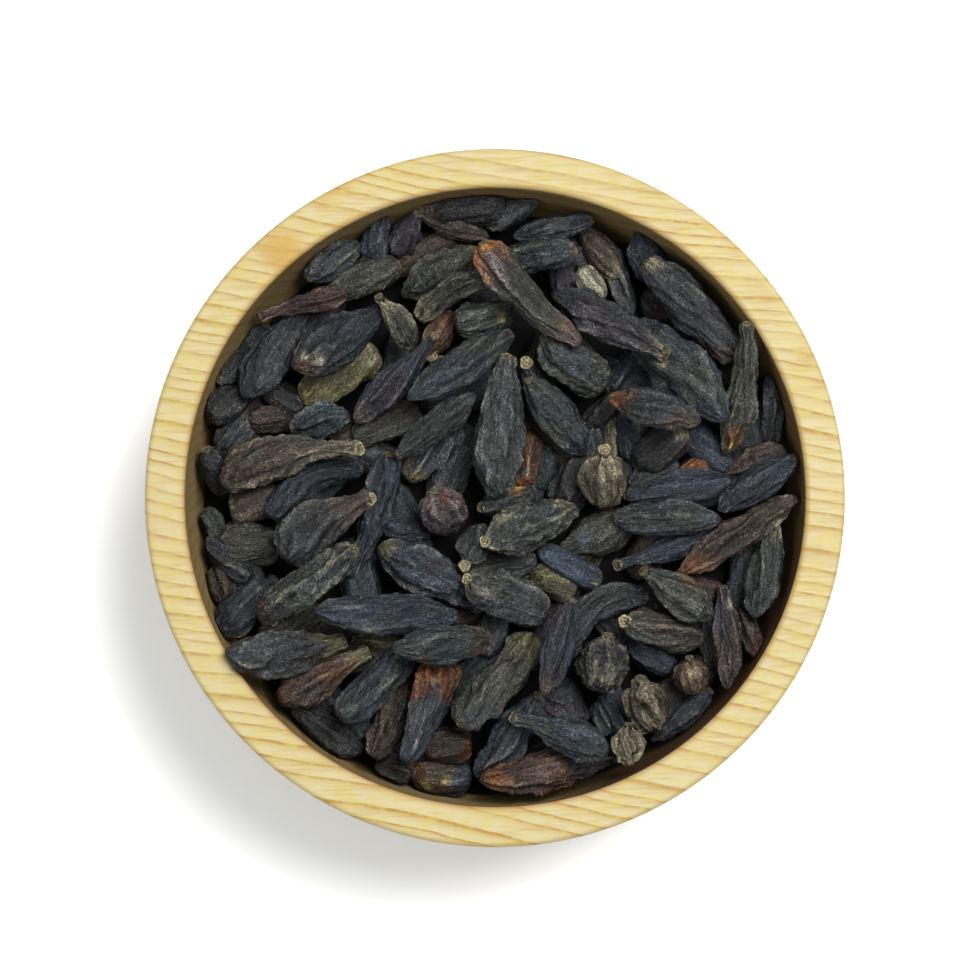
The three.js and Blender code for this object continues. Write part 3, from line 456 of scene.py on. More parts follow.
# The rings of a packed fruit, from its stalk end to its tip, in millimetres.
def packedRings(node):
    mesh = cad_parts[node].data
    points = np.empty(len(mesh.vertices) * 3)
    mesh.vertices.foreach_get("co", points)
    points = points.reshape(-1, 3) / mm
    kept, same = np.unique(np.round(points, 3), axis=0, return_inverse=True)
    same = same.reshape(-1)
    near = [set() for _ in kept]
    for polygon in mesh.polygons:
        corners = [same[i] for i in polygon.vertices]
        for corner in corners:
            near[corner].update(corners)
    ends = [i for i, others in enumerate(near) if len(others) == 9]
    rings, seen, front = [], {ends[0]}, {ends[0]}
    while len(seen) < len(kept):
        front = {j for i in front for j in near[i]} - seen
        seen |= front
        rings.append(sorted(front))
    rings = [kept[ring] for ring in rings[:-1]]
    poles = [kept[ends[0]], kept[ends[1]]]
    flatAtFirst = np.linalg.norm(poles[0] - rings[0].mean(0)) < np.linalg.norm(poles[1] - rings[-1].mean(0))
    if not flatAtFirst:
        rings.reverse()
        poles.reverse()
    centres = [ring.mean(0) for ring in rings]
    ordered = []
    start = None
    for index, ring in enumerate(rings):
        before, after = centres[max(index - 1, 0)], centres[min(index + 1, len(rings) - 1)]
        forward = (after - before) / np.linalg.norm(after - before)
        across = np.array([forward[1], -forward[0], 0])
        across /= np.linalg.norm(across)
        up = np.cross(across, forward)
        off = ring - centres[index]
        turns = np.arctan2(off @ up, off @ across) % (2 * math.pi)
        order = np.argsort(turns)
        if start is not None:
            apart = np.abs((turns[order] - start + math.pi) % (2 * math.pi) - math.pi)
            order = np.roll(order, -int(np.argmin(apart)))
        start = turns[order][0]
        ordered.append(ring[order])
    return np.array(ordered), poles


# The bed: how high the lower fruits lie and where they lean on the wall, the hidden ones, and the core, a near-black
# solid that stands for the shade deep down between the fruits.
heap = {
    "level": 37.5,
    "layer": 1.5,
    "fullness": 1.08,
    "wallShare": 0.35,
    "wallGap": 0.5,
    "flatness": 0.84,
    "twist": 0.5,
    "hidden": 24,
    "hiddenReach": 44,
    "hiddenAtWall": 12,
    "hiddenWallReach": 53,
    "hiddenLength": 18,
    "hiddenWidth": 7.6,
    "hiddenLayer": -1,
    "coreTop": 33,
    "coreFloorGap": 1,
    "coreWallGap": 3,
    "coreFlat": 20,
    "coreHeel": (52, 18),
    "coreSides": 96,
}


# The rings of a lower fruit, by the rule that the bed is built with.
def measuredRings(row, full, seed):
    atX, atY, toX, toY, wide, shape, layer, bend, lean = row
    half = heap["wallShare"] * wide
    heights = []
    for x, y, sign in ((atX, atY, -0.5), (toX, toY, 0.5)):
        reach = min(math.hypot(x, y) + half + heap["wallGap"], bowl["mouth"] - heap["wallGap"])
        rise = 1 - math.sqrt(1 - (reach / bowl["mouth"]) ** bowl["fullness"])
        wall = bowl["floor"] + (bowl["height"] - bowl["floor"]) * rise
        heights.append(max(heap["level"] + layer * heap["layer"], wall) + sign * lean)
    start = np.array([atX, atY, heights[0]])
    end = np.array([toX, toY, heights[1]])
    along = end - start
    left = np.array([-along[1], along[0], 0]) / math.hypot(along[0], along[1])
    middle = (start + end) / 2 + left * 2 * bend
    rings = []
    for place, share in shapes[shape]:
        centre = (1 - place) ** 2 * start + 2 * place * (1 - place) * middle + place**2 * end
        forward = (1 - place) * (middle - start) + place * (end - middle)
        forward /= np.linalg.norm(forward)
        across = np.array([forward[1], -forward[0], 0])
        across /= np.linalg.norm(across)
        up = np.cross(across, forward)
        turns = np.arange(8) * math.pi / 4 + heap["twist"] * (place + draw(seed))
        radius = 0.5 * wide * full * share
        ring = np.cos(turns)[:, None] * across + heap["flatness"] * np.sin(turns)[:, None] * up
        rings.append(centre + radius * ring)
    return np.array(rings), [start, end]


# The fruits' skin: how far ridges, wrinkles, net, lumps, furrows and dents stand out, and its finish.
skin = {
    "ridge": 0.95,
    "wrinkle": 0.42,
    "net": 0.55,
    "lump": 0.5,
    "furrow": 0.6,
    "shrink": 0.98,
    "flattish": 1.2,
    "cast": (0.78, 0.79, 0.82),
    "dent": 0.7,
    "fine": 0.3,
    # The colour of the pale flecks, partly dust and partly painted glints.
    "dustAndSheen": "#9c9a90",
    "rough": 0.5,
    "shine": 0.24,
    "smoothLow": 0.45,
    "wallGap": 0.35,
}


# The smooth body of a fruit through its rings: its points, its middle line and how far along it they lie.
def smoothBody(rings, poles, size):
    along, around = size
    waves = np.fft.fft(rings, axis=1) / rings.shape[1]
    keep = np.stack([waves[:, 0], 2 * waves[:, 1], skin["flattish"] * waves[:, 2]], 1)
    ghost = keep * np.array([1, -1, 1])[None, :, None]
    point = np.zeros((1,) + keep.shape[1:], complex)
    stalk, tip = point.copy(), point.copy()
    stalk[0, 0], tip[0, 0] = poles[0], poles[1]
    values = np.concatenate([ghost[:1], stalk, keep, tip, ghost[-1:]])
    centres = values[:, 0].real
    widths = np.linalg.norm(values[:, 1], axis=1) / math.sqrt(2)
    signed = widths.copy()
    signed[0], signed[-1] = -signed[0], -signed[-1]
    steps = np.sqrt(np.sum(np.diff(centres, axis=0) ** 2, 1) + np.diff(signed) ** 2)
    knots = np.concatenate([[0], np.cumsum(np.maximum(steps, 0.05))])
    first, last = knots[1], knots[-2]
    places = first + (last - first) * (np.arange(along) + 0.5) / along
    fine = curveThrough(knots, values, places)
    turns = np.arange(around) * 2 * math.pi / around
    wave = np.exp(1j * np.outer(np.arange(3), turns))
    points = np.einsum("skc,kt->stc", fine, wave).real
    centre = fine[:, 0].real
    points = centre[:, None] + (points - centre[:, None]) * skin["shrink"]
    return points, centre, turns, (places - first) / (knots[2] - first)


def outwardNormals(points, centre):
    across = np.roll(points, -1, 1) - np.roll(points, 1, 1)
    normals = np.cross(across, np.gradient(points, axis=0))
    normals /= np.maximum(np.linalg.norm(normals, axis=2, keepdims=True), 1e-9)
    inward = np.sum(normals * (points - centre[:, None])) < 0
    return -normals if inward else normals


# The colour of every point: the skin's, its cast, its ends, pale crests that are partly dust and partly painted
# highlight, spots with painted glints among them, and dents painted dark as the shade in them.
def fruitTint(points, body, share, disc, relief, tops, look, seed):
    tint = np.empty(points.shape)
    tint[:] = linear(colours[look["skin"]])
    patch = 0.5 + 0.9 * hills(body, "patch", seed + 9) + 0.3 * hills(body, "finePatch", seed + 10)

    def blend(colour, amount):
        tint[:] += (linear(colours[colour]) - tint) * np.clip(amount, 0, 1)[..., None]

    if look.get("cast"):
        blend(look["cast"], smooth(0.3, 0.75, patch) * 0.85)
    else:
        tint *= (0.85 + 0.3 * patch)[..., None]
    ragged = share[:, None] + 0.22 * (patch - 0.5) + 0.06 * hills(body, "ragged", seed + 14)
    if look.get("tip"):
        start = look.get("tipFrom", 0.8)
        blend(look["tip"], smooth(start - 0.1, start + 0.14, ragged) * 0.9)
    if look.get("stalk"):
        end = look.get("stalkTo", 0.2)
        blend(look["stalk"], (1 - smooth(end - 0.1, end + 0.14, ragged)) * 0.85)
    blend("khaki", (np.exp(-(((disc - 0.8) / 0.3) ** 2)) * 0.6)[:, None] * (0.6 + 0.6 * patch))
    # Paler crests, partly dust and partly painted highlight.
    blend("khaki", relief * smooth(0.5, 0.9, relief) * 0.28 * look.get("dustAndSheen", 1))
    fray = 0.5 * hills(body, "fray", seed + 15)
    for x, y, reach, colour, strength in spotsAndGlints if look.get("top") else lowSpotsAndGlints:
        apart = np.hypot(points[..., 0] - x, points[..., 1] - y) / reach + fray
        blend(colour, np.exp(-(np.maximum(apart, 0) ** 3)) * strength * tops * (0.55 + 0.9 * relief))
    # The dents are painted darker as the shade in them.
    for x, y, reach, deep in dents if look.get("top") else []:
        apart = np.hypot(points[..., 0] - x, points[..., 1] - y) / reach
        tint *= (1 - 0.75 * np.exp(-((apart / 0.75) ** 4)) * tops)[..., None]
    return tint * np.array(skin["cast"])


# A fine wrinkled fruit over its rings, with a tint and a relief for every point.
def fruitGrid(rings, poles, size, look, seed, clearOfWall):
    points, centre, turns, disc = smoothBody(rings, poles, size)
    normals = outwardNormals(points, centre)
    radius = np.linalg.norm(points - centre[:, None], axis=2).mean(1)
    length = np.concatenate([[0], np.cumsum(np.linalg.norm(np.diff(centre, axis=0), axis=1))])
    share = length / length[-1]

    # Places in the fruit's own straight body, so that patterns follow its bend
    body = np.empty(points.shape)
    spread = (0.35 * radius.max() + 0.65 * radius)[:, None]
    body[..., 0] = spread * np.cos(turns)
    body[..., 1] = spread * np.sin(turns)
    body[..., 2] = length[:, None]
    body += np.array([draw(seed + 0.1), draw(seed + 0.2), draw(seed + 0.3)]) * 90

    # Ridges along it, two kinds of wrinkles, a net, lumps and furrows
    wide = radius.max()
    grown = np.clip(radius / wide, 0, 1)[:, None]
    bent = hills(body, "ridgeBend", seed)
    count = look.get("ridges", 5 + int(3 * draw(seed + 0.5)))
    phase = count * (turns[None, :] + 0.8 * bent) + 6.3 * draw(seed + 0.6)
    crest = (1 - np.abs(np.sin(phase / 2))) ** 1.4
    crest = crest * np.clip(0.65 + 0.9 * hills(body, "ridgeFade", seed + 1), 0.1, 1.2)
    drift = [hills(body, "warp", seed + 2), hills(body, "warp", seed + 3), 0 * bent]
    warp = body + 0.4 * np.stack(drift, -1)
    second = lines(warp, "wrinkle", seed + 4, 2.6) ** 1.3
    third = lines(warp, "fineWrinkle", seed + 5, 2.4)
    net = np.maximum(lines(warp, "net", seed + 6, 3.2), 0.7 * lines(warp, "fineNet", seed + 7, 2.8))
    slack = hills(body, "slack", seed + 8)
    lump = hills(body, "lump", seed + 11) + 0.5 * hills(body, "fineLump", seed + 13)
    furrow = lines(warp, "furrow", seed + 12, 3.4) * grown
    netted = look.get("net", 0.15 + 0.35 * draw(seed + 0.7))
    ridged = look.get("ridge", 0.75 + 0.5 * draw(seed + 0.8))
    scale = 0.35 + 0.65 * wide / 5
    height = skin["ridge"] * ridged * scale * (crest - 0.45) * (0.35 + 0.65 * grown)
    height = height + skin["wrinkle"] * (second + 0.45 * third - 0.65) * (0.5 + 0.5 * grown)
    height = height + skin["net"] * netted * (net - 0.5) * scale
    height = height + skin["dent"] * scale * np.minimum(slack, 0.1)
    height = height + skin["lump"] * scale * lump * (0.4 + 0.6 * grown)
    height = height - skin["furrow"] * ridged * scale * furrow
    ends = smooth(0.6, 1.5, disc)[:, None] * smooth(0, 0.06, 1 - share)[:, None]
    height = height * ends * look.get("soft", 1)
    relief = np.clip(0.35 * crest + 0.4 * second + 0.2 * third + 0.5 * netted * net - 0.4 * furrow, 0, 1) * ends

    tops = smooth(0, 0.5, normals[..., 2])
    for x, y, reach, deep in dents if look.get("top") else []:
        apart = np.hypot(points[..., 0] - x, points[..., 1] - y) / reach
        height = height - deep * np.exp(-(apart**2.5)) * tops

    tint = fruitTint(points, body, share, disc, relief, tops, look, seed)
    points = points + normals * height[..., None]
    forward = centre[len(centre) // 6] - centre[0]
    forward /= np.linalg.norm(forward)
    stub = radius[np.argmin(np.abs(disc - 1))]
    if clearOfWall:
        depth = np.clip((points[..., 2] - bowl["floor"]) / (bowl["height"] - bowl["floor"]), 0, 0.999)
        inner = bowl["mouth"] * (1 - (1 - depth) ** 2) ** (1 / bowl["fullness"]) - skin["wallGap"]
        reach = np.hypot(points[..., 0], points[..., 1])
        points[..., :2] *= np.minimum(1, inner / reach)[..., None]
    ends = np.array([points[0].mean(0), points[-1].mean(0)])
    grid = {"points": points, "ends": ends, "body": body, "relief": relief, "tint": tint}
    return [grid, scarGrid(centre[0], -forward, stub, look, seed)]


# The stalk's scar. The profile goes from its edge inwards: share of its radius, height as such a share, colour.
scar = {
    "bright": 0.75,
    "dull": 0.36,
    "nod": 0.3,
    "profile": [
        (0.9, -1.6, "darkBrown"),
        (1.05, -0.7, "brown"),
        (1.12, -0.15, "umber"),
        (0.97, 0.12, "khaki"),
        (0.8, 0.12, "scar"),
        (0.64, 0.0, "umber"),
        (0.5, 0.04, "khaki"),
        (0.36, 0.1, "scar"),
        (0.2, 0.06, "khaki"),
        (0.08, 0.0, "umber"),
    ],
}


# The round scar of the stalk: a raised pale ring with a hollow in it and a dot in the middle.
def scarGrid(spot, outward, stub, look, seed):
    nod = look.get("nod", scar["nod"])
    reach = look.get("scar", min(1.1, 0.8 * stub + 0.15))
    upward = np.array([0, 0, 1.0])
    axis = outward * math.cos(nod) + upward * math.sin(nod)
    axis /= np.linalg.norm(axis)
    side = np.cross(axis, upward)
    side /= np.linalg.norm(side)
    other = np.cross(side, axis)
    spot = spot + upward * 0.55 * stub * math.sin(nod) + axis * 0.05
    turns = np.arange(detail["scar"]) * 2 * math.pi / detail["scar"]
    wobble = 1 + 0.08 * np.sin(3 * turns + seed) + 0.05 * np.sin(5 * turns + 2 * seed)
    points, tint = [], []
    for share, height, colour in scar["profile"]:
        ring = reach * share * wobble
        edge = np.outer(ring * np.cos(turns), side) + np.outer(ring * np.sin(turns), other)
        points.append(spot + axis * height * reach + edge)
        if colour == "scar":
            colour = look.get("scarColour", colour)
        tint.append(np.tile(linear(colours[colour]), (len(turns), 1)))
    points = np.array(points)
    tint = np.array(tint) * look.get("bright", scar["bright" if "scar" in look else "dull"])
    relief = np.full(points.shape[:2], 0.45)
    ends = np.array([points[0].mean(0), points[-1].mean(0)])
    return {"points": points, "ends": ends, "body": points + seed, "relief": relief, "tint": tint}


# One mesh object from one or more fine fruits.
def meshOf(name, grids, material):
    coordinates, faces, bodies, reliefs, tints = [], [], [], [], []
    base = 0
    for grid in grids:
        along, around = grid["relief"].shape
        place = base + np.arange(along * around).reshape(along, around)
        following = np.roll(place, -1, 1)
        quads = np.stack([place[:-1], place[1:], following[1:], following[:-1]], -1).reshape(-1, 4)
        stalk, tip = base + along * around, base + along * around + 1
        faces += quads.tolist()
        faces += [(stalk, a, b) for a, b in zip(place[0], following[0])]
        faces += [(tip, b, a) for a, b in zip(place[-1], following[-1])]
        coordinates += [grid["points"].reshape(-1, 3), grid["ends"]]
        for store, key in ((bodies, "body"), (tints, "tint")):
            store += [grid[key].reshape(-1, 3), grid[key][0].mean(0)[None], grid[key][-1].mean(0)[None]]
        reliefs += [grid["relief"].reshape(-1), np.zeros(2)]
        base += along * around + 2
    points = np.concatenate(coordinates) * mm
    mesh = bpy.data.meshes.new(name)
    mesh.from_pydata(points.tolist(), [], faces)
    thing = bpy.data.objects.new(name, mesh)
    mesh.polygons.foreach_set("use_smooth", np.ones(len(mesh.polygons), bool))
    body = mesh.attributes.new("body", "FLOAT_VECTOR", "POINT")
    body.data.foreach_set("vector", np.concatenate(bodies).reshape(-1))
    relief = mesh.attributes.new("relief", "FLOAT", "POINT")
    relief.data.foreach_set("value", np.concatenate(reliefs))
    tint = mesh.attributes.new("tint", "FLOAT_COLOR", "POINT")
    tinted = np.concatenate(tints)
    tint.data.foreach_set("color", np.column_stack([tinted, np.ones(len(tinted))]).reshape(-1))
    mesh.materials.append(material)
    mesh.update()
    bpy.context.scene.collection.objects.link(thing)
    return thing


# A socket of the material that is being built, for shader sums written as sums.
class Wire:
    tree = None

    def __init__(self, socket):
        self.socket = socket

    def sum(self, operation, first, second=0.0):
        return Wire.node("ShaderNodeMath", [first, second], operation=operation)

    @staticmethod
    def join(socket, value):
        if isinstance(value, Wire):
            Wire.tree.links.new(value.socket, socket)
        else:
            socket.default_value = value

    @staticmethod
    def node(kind, inputs=(), output=0, **settings):
        made = Wire.tree.nodes.new(kind)
        for key, value in settings.items():
            setattr(made, key, value)
        pairs = inputs.items() if isinstance(inputs, dict) else enumerate(inputs)
        for key, value in pairs:
            Wire.join(made.inputs[key], value)
        return Wire(made.outputs[output])

    def __add__(self, other):
        return self.sum("ADD", self, other)

    def __radd__(self, other):
        return self.sum("ADD", other, self)

    def __sub__(self, other):
        return self.sum("SUBTRACT", self, other)

    def __rsub__(self, other):
        return self.sum("SUBTRACT", other, self)

    def __mul__(self, other):
        return self.sum("MULTIPLY", self, other)

    def __rmul__(self, other):
        return self.sum("MULTIPLY", other, self)

    def __truediv__(self, other):
        return self.sum("DIVIDE", self, other)

    def __rtruediv__(self, other):
        return self.sum("DIVIDE", other, self)

    def __abs__(self):
        return self.sum("ABSOLUTE", self)

    def part(self):
        return self.sum("FRACT", self)

    def between(self, low, high):
        inputs = {"Value": self, "From Min": low, "From Max": high}
        return Wire.node("ShaderNodeMapRange", inputs, interpolation_type="SMOOTHSTEP")

    def scaled(self, x, y, z):
        return Wire.node("ShaderNodeVectorMath", [self, (x, y, z)], operation="MULTIPLY")

    def onto(self, x, y, z):
        return Wire.node("ShaderNodeVectorMath", [self, (x, y, z)], output="Value", operation="DOT_PRODUCT")

    def wandering(self, scale, reach):
        inputs = {"Vector": self, "Scale": scale, "Detail": 1.0}
        drift = Wire.node("ShaderNodeTexNoise", inputs, output="Color")
        drift = Wire.node("ShaderNodeVectorMath", [drift, (0.5, 0.5, 0.5)], operation="SUBTRACT")
        return Wire.node("ShaderNodeVectorMath", [self, drift.scaled(reach, reach, reach)], operation="ADD")

    def noise(self, scale, fineness=2.0, rough=0.5):
        inputs = {"Vector": self, "Scale": scale, "Detail": fineness, "Roughness": rough}
        return Wire.node("ShaderNodeTexNoise", inputs, output="Fac")

    def towards(self, other, amount):
        made = Wire.tree.nodes.new("ShaderNodeMix")
        made.data_type = "RGBA"
        Wire.join(made.inputs[0], amount)
        Wire.join(made.inputs[6], self)
        Wire.join(made.inputs[7], other)
        return Wire(made.outputs[2])


def shade(colour):
    return (*linear(colour), 1.0)


def material(name, build):
    made = bpy.data.materials.new(name)
    made.use_nodes = True
    Wire.tree = made.node_tree
    surface = Wire.tree.nodes["Principled BSDF"]
    for key, value in build().items():
        Wire.join(surface.inputs[key], value)
    return made


def bumped(height, strength, depth):
    inputs = {"Height": height, "Strength": strength, "Distance": depth * mm}
    return Wire.node("ShaderNodeBump", inputs, output="Normal")


# Pale net lines and darker hollows, painted light and shade on the wrinkles, fine grey grains, and pale flecks that are
# partly dust and partly painted glints, over the tint of each fruit.
def fruitSkin():
    body = Wire.node("ShaderNodeAttribute", output="Vector", attribute_name="body")
    relief = Wire.node("ShaderNodeAttribute", output="Fac", attribute_name="relief")
    tint = Wire.node("ShaderNodeAttribute", output="Color", attribute_name="tint")
    loose = body.wandering(0.35, 0.9)
    wide = (1 - abs(loose.scaled(1, 1, 0.16).noise(0.7, 1.5) - 0.5) * 9).between(0, 1)
    thin = (1 - abs(loose.scaled(1, 1, 0.3).noise(1.5, 1.5) - 0.5) * 7).between(0, 1)
    dust = body.scaled(1, 1, 0.8).noise(3.4, 3.0, 0.65)
    cloud = body.scaled(1, 1, 0.4).noise(0.4, 2.0)
    crest = wide * 0.6 + thin * 0.4
    grains = dust.between(0.34, 0.68)
    # The crests are painted lighter as lit and the hollows darker as their shade, times the grains' own tone.
    wrinkleLightShadeAndGrain = (0.55 + 0.9 * crest) * (0.34 + 1.28 * relief) * (0.25 + 1.5 * grains)
    # Pale flecks on the crests, partly dust and partly painted glints.
    dustAndGlints = dust.between(0.56, 0.7) * (0.35 + 0.65 * crest) * (0.3 + 0.7 * cloud.between(0.36, 0.58))
    base = Wire.node("ShaderNodeVectorMath", [tint, wrinkleLightShadeAndGrain], operation="MULTIPLY")
    base = base.towards(shade(skin["dustAndSheen"]), dustAndGlints * 0.4)
    height = wide * 0.3 + thin * 0.2 + dust * 0.9
    bump = bumped(height, 1.0, skin["fine"])
    rough = skin["rough"] + (dust - 0.5) * 0.3
    return {"Base Color": base, "Roughness": rough, "Normal": bump, "Specular IOR Level": skin["shine"]}


# Growth lines that run across the bowl, golden and pinkish zones, and a brown inside with turning lines, painted darker
# as its shade, darker and reddish at the right and darkest at the lower right.
def pine():
    place = Wire.node("ShaderNodeTexCoord", output="Object").scaled(1000, 1000, 1000)
    reach = Wire.node("ShaderNodeVectorMath", [place.scaled(1, 1, 0)], output="Value", operation="LENGTH")
    height = place.onto(0, 0, 1)
    wave = place.noise(0.012, 1.0) * bowl["lineBow"] + place.noise(0.16, 1.0) * bowl["lineWaver"]
    ring = (place.onto(*bowl["lineWay"]) + wave) / bowl["lineGap"]
    lane = Wire.node("ShaderNodeCombineXYZ", [ring * 0.23, 0.0, 0.0])
    ring = ring + lane.noise(1.0, 1.0) * 3
    step = ring.part()
    late = (step.between(0.3, 0.9) * 0.45 + step.between(0.7, 0.92) * 0.55) * (1 - step.between(0.93, 1.0))
    strength = Wire.node("ShaderNodeCombineXYZ", [ring * 0.31, 5.0, 0.0]).noise(1.0, 1.0).between(0.3, 0.7)
    fibre = place.scaled(0.12, 1.6, 1.2).noise(1.0, 3.0)
    base = Wire.node("ShaderNodeRGB")
    base.socket.default_value = shade(bowl["light"])
    base = base.towards(shade(bowl["line"]), late * (0.5 + 0.7 * strength))
    farAside = abs(place.onto(0.014, 0, 0)).between(0.55, 0.9)
    base = base.towards(shade(bowl["pink"]), place.noise(0.045, 1.0).between(0.54, 0.7) * farAside * 0.6)
    outward = reach.between(63, 70) * place.onto(0.01, 0.02, 0).between(-0.2, 1.0)
    base = base.towards(shade(bowl["gold"]), place.noise(0.08, 2.0).between(0.46, 0.66) * outward * 0.55)
    mottle = place.noise(0.45, 3.0, 0.6)
    base = base.towards(shade(bowl["mottle"]), mottle.between(0.4, 0.66) * 0.6)
    apart = Wire.node("ShaderNodeVectorMath", [place, bowl["blotch"]], output="Value", operation="DISTANCE")
    blotch = 1 - (apart + mottle * 4 - 2).between(bowl["blotchReach"] * 0.5, bowl["blotchReach"] * 1.3)
    base = base.towards(shade(bowl["gold"]), blotch * 0.7)
    base = base.towards(shade(bowl["line"]), fibre.between(0.45, 0.75) * 0.34)
    upperHalf = height.between(bowl["height"] * 0.5, bowl["height"] * 0.6)
    rimEdge = (1 - abs(reach - bowl["mouth"] - 0.4).between(0.0, 1.1)) * upperHalf
    rimEdge = rimEdge + reach.between(bowl["rim"] - 0.9, bowl["rim"]) * 0.5
    base = base.towards(shade(bowl["edgeLine"]), rimEdge * 0.45)
    within = 1 - reach.between(bowl["mouth"] - 0.1, bowl["mouth"] + 0.2)
    within = within * height.between(bowl["floor"] - 0.5, bowl["floor"] + 0.5)
    # Low down the outer wall is narrower than the mouth, beyond a slope that the inside never reaches.
    within = within * (1 - (reach - height * bowl["partingSlope"]).between(bowl["parting"], bowl["parting"] + 2))
    turning = Wire.node("ShaderNodeCombineXYZ", [0.0, 0.0, height * 3 + reach * 2.5]).noise(1.0, 2.0)
    # Painted shade on the inner wall: darker all over, darker and reddish at the right, darkest at the lower right. The
    # turning lines darken it too.
    shaded = place.onto(0.75, -0.66, 0.0).between(44, 58)
    base = base.towards(shade(bowl["inside"]), within * (0.6 + 0.5 * (turning - 0.5)))
    base = base.towards(shade(bowl["insideRedAndShade"]), within * place.onto(0.97, -0.24, 0.0).between(35, 60) * 0.6)
    base = base.towards(shade(bowl["insideLinesAndShade"]), within * (0.5 * turning.between(0.42, 0.58) + shaded * 0.7))
    bump = bumped(fibre * 0.4 + late * 0.25 + within * turning * 0.6, 0.6, bowl["lineBump"])
    return {"Base Color": base, "Roughness": 0.5 + 0.14 * fibre, "Normal": bump, "Specular IOR Level": 0.35}


# The core is painted near black as the shade deep down between the fruits.
def shadeCore():
    return {"Base Color": (0.004, 0.004, 0.004, 1), "Roughness": 0.9, "Specular IOR Level": 0.1}


def paleFloor():
    return {"Base Color": studio["floor"], "Roughness": 0.9, "Specular IOR Level": 0.1}


# A closed surface turned about the upright axis, from points of reach and height that start and end on the axis.
def turned(name, profile, sides, made):
    turns = np.arange(sides) * 2 * math.pi / sides
    rings = [(r * np.cos(turns), r * np.sin(turns), np.full(sides, z)) for r, z in profile[1:-1]]
    points = np.concatenate([np.stack(ring, -1) for ring in rings])
    points = np.concatenate([points, [[0, 0, profile[0][1]], [0, 0, profile[-1][1]]]]) * mm
    count = len(rings)
    place = np.arange(count * sides).reshape(count, sides)
    following = np.roll(place, -1, 1)
    faces = np.stack([place[:-1], following[:-1], following[1:], place[1:]], -1).reshape(-1, 4).tolist()
    faces += [(count * sides, b, a) for a, b in zip(place[0], following[0])]
    faces += [(count * sides + 1, a, b) for a, b in zip(place[-1], following[-1])]
    mesh = bpy.data.meshes.new(name)
    mesh.from_pydata(points.tolist(), [], faces)
    mesh.polygons.foreach_set("use_smooth", np.ones(len(mesh.polygons), bool))
    mesh.materials.append(made)
    mesh.update()
    thing = bpy.data.objects.new(name, mesh)
    bpy.context.scene.collection.objects.link(thing)
    return thing


# The bowl's outline from the middle of its foot, up outside, over the rim and down to the middle of its floor.
def bowlProfile():
    points = [(0, 0), (bowl["foot"] * 0.5, 0), (bowl["foot"] - bowl["footChamfer"] - 0.05, 0)]
    points += [(bowl["foot"] - bowl["footChamfer"], 0)]
    for i in range(29):
        angle = i / 28 * math.pi / 2
        reach = bowl["foot"] + (bowl["rim"] - bowl["foot"]) * math.sin(angle)
        points.append((reach, bowl["footChamfer"] + (bowl["shoulder"] - bowl["footChamfer"]) * (1 - math.cos(angle))))
    edge = bowl["edge"]
    for i in range(7):
        angle = i / 6 * math.pi / 2
        points.append((bowl["rim"] - edge * (1 - math.cos(angle)), bowl["height"] - edge * (1 - math.sin(angle))))
    points += [(bowl["rim"] - edge - 0.1, bowl["height"]), ((bowl["rim"] + bowl["mouth"]) / 2, bowl["height"])]
    points += [(bowl["mouth"] + edge + 0.1, bowl["height"])]
    for i in range(6):
        angle = i / 6 * math.pi / 2
        points.append((bowl["mouth"] + edge * (1 - math.sin(angle)), bowl["height"] - edge * (1 - math.cos(angle))))
    for i in range(36, 0, -1):
        angle = i / 36 * math.pi / 2
        reach = bowl["mouth"] * math.sin(angle) ** (2 / bowl["fullness"])
        height = bowl["height"] - (bowl["height"] - bowl["floor"]) * math.cos(angle)
        if height < bowl["height"] - edge:
            points.append((reach, height))
    return points + [(0, bowl["floor"])]


# The lower fruits, then the ones deep down: a spiral over the middle and a ring along the wall.
def bedRows():
    rows = list(lowFruits)
    places = []
    for i in range(heap["hidden"]):
        reach = heap["hiddenReach"] * math.sqrt((i + 0.5) / heap["hidden"])
        places.append((reach, i * math.pi * (3 - math.sqrt(5)), draw(i) * math.pi))
    for i in range(heap["hiddenAtWall"]):
        spot = (i + 0.5) / heap["hiddenAtWall"] * 2 * math.pi
        places.append((heap["hiddenWallReach"], spot, spot + math.pi / 2 + 0.3 * (draw(60 + i) - 0.5)))
    for reach, spot, turn in places:
        x, y = reach * math.cos(spot), reach * math.sin(spot)
        dx, dy = heap["hiddenLength"] / 2 * math.cos(turn), heap["hiddenLength"] / 2 * math.sin(turn)
        rows.append((x - dx, y - dy, x + dx, y + dy, heap["hiddenWidth"], "capsule", heap["hiddenLayer"], 0, 0))
    return rows


fruitMaterial = material("fruit", fruitSkin)

for index in range(1, 59):
    node = f"fruit_{index:02d}"
    rings, poles = packedRings(node)
    look = {**looks[node], "top": True}
    grids = fruitGrid(rings, poles, detail["top"], look, 100 + index, False)
    piece = meshOf(node + "_skin", grids, fruitMaterial)
    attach(piece, "root")
    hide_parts(node)
print("top fruits done")

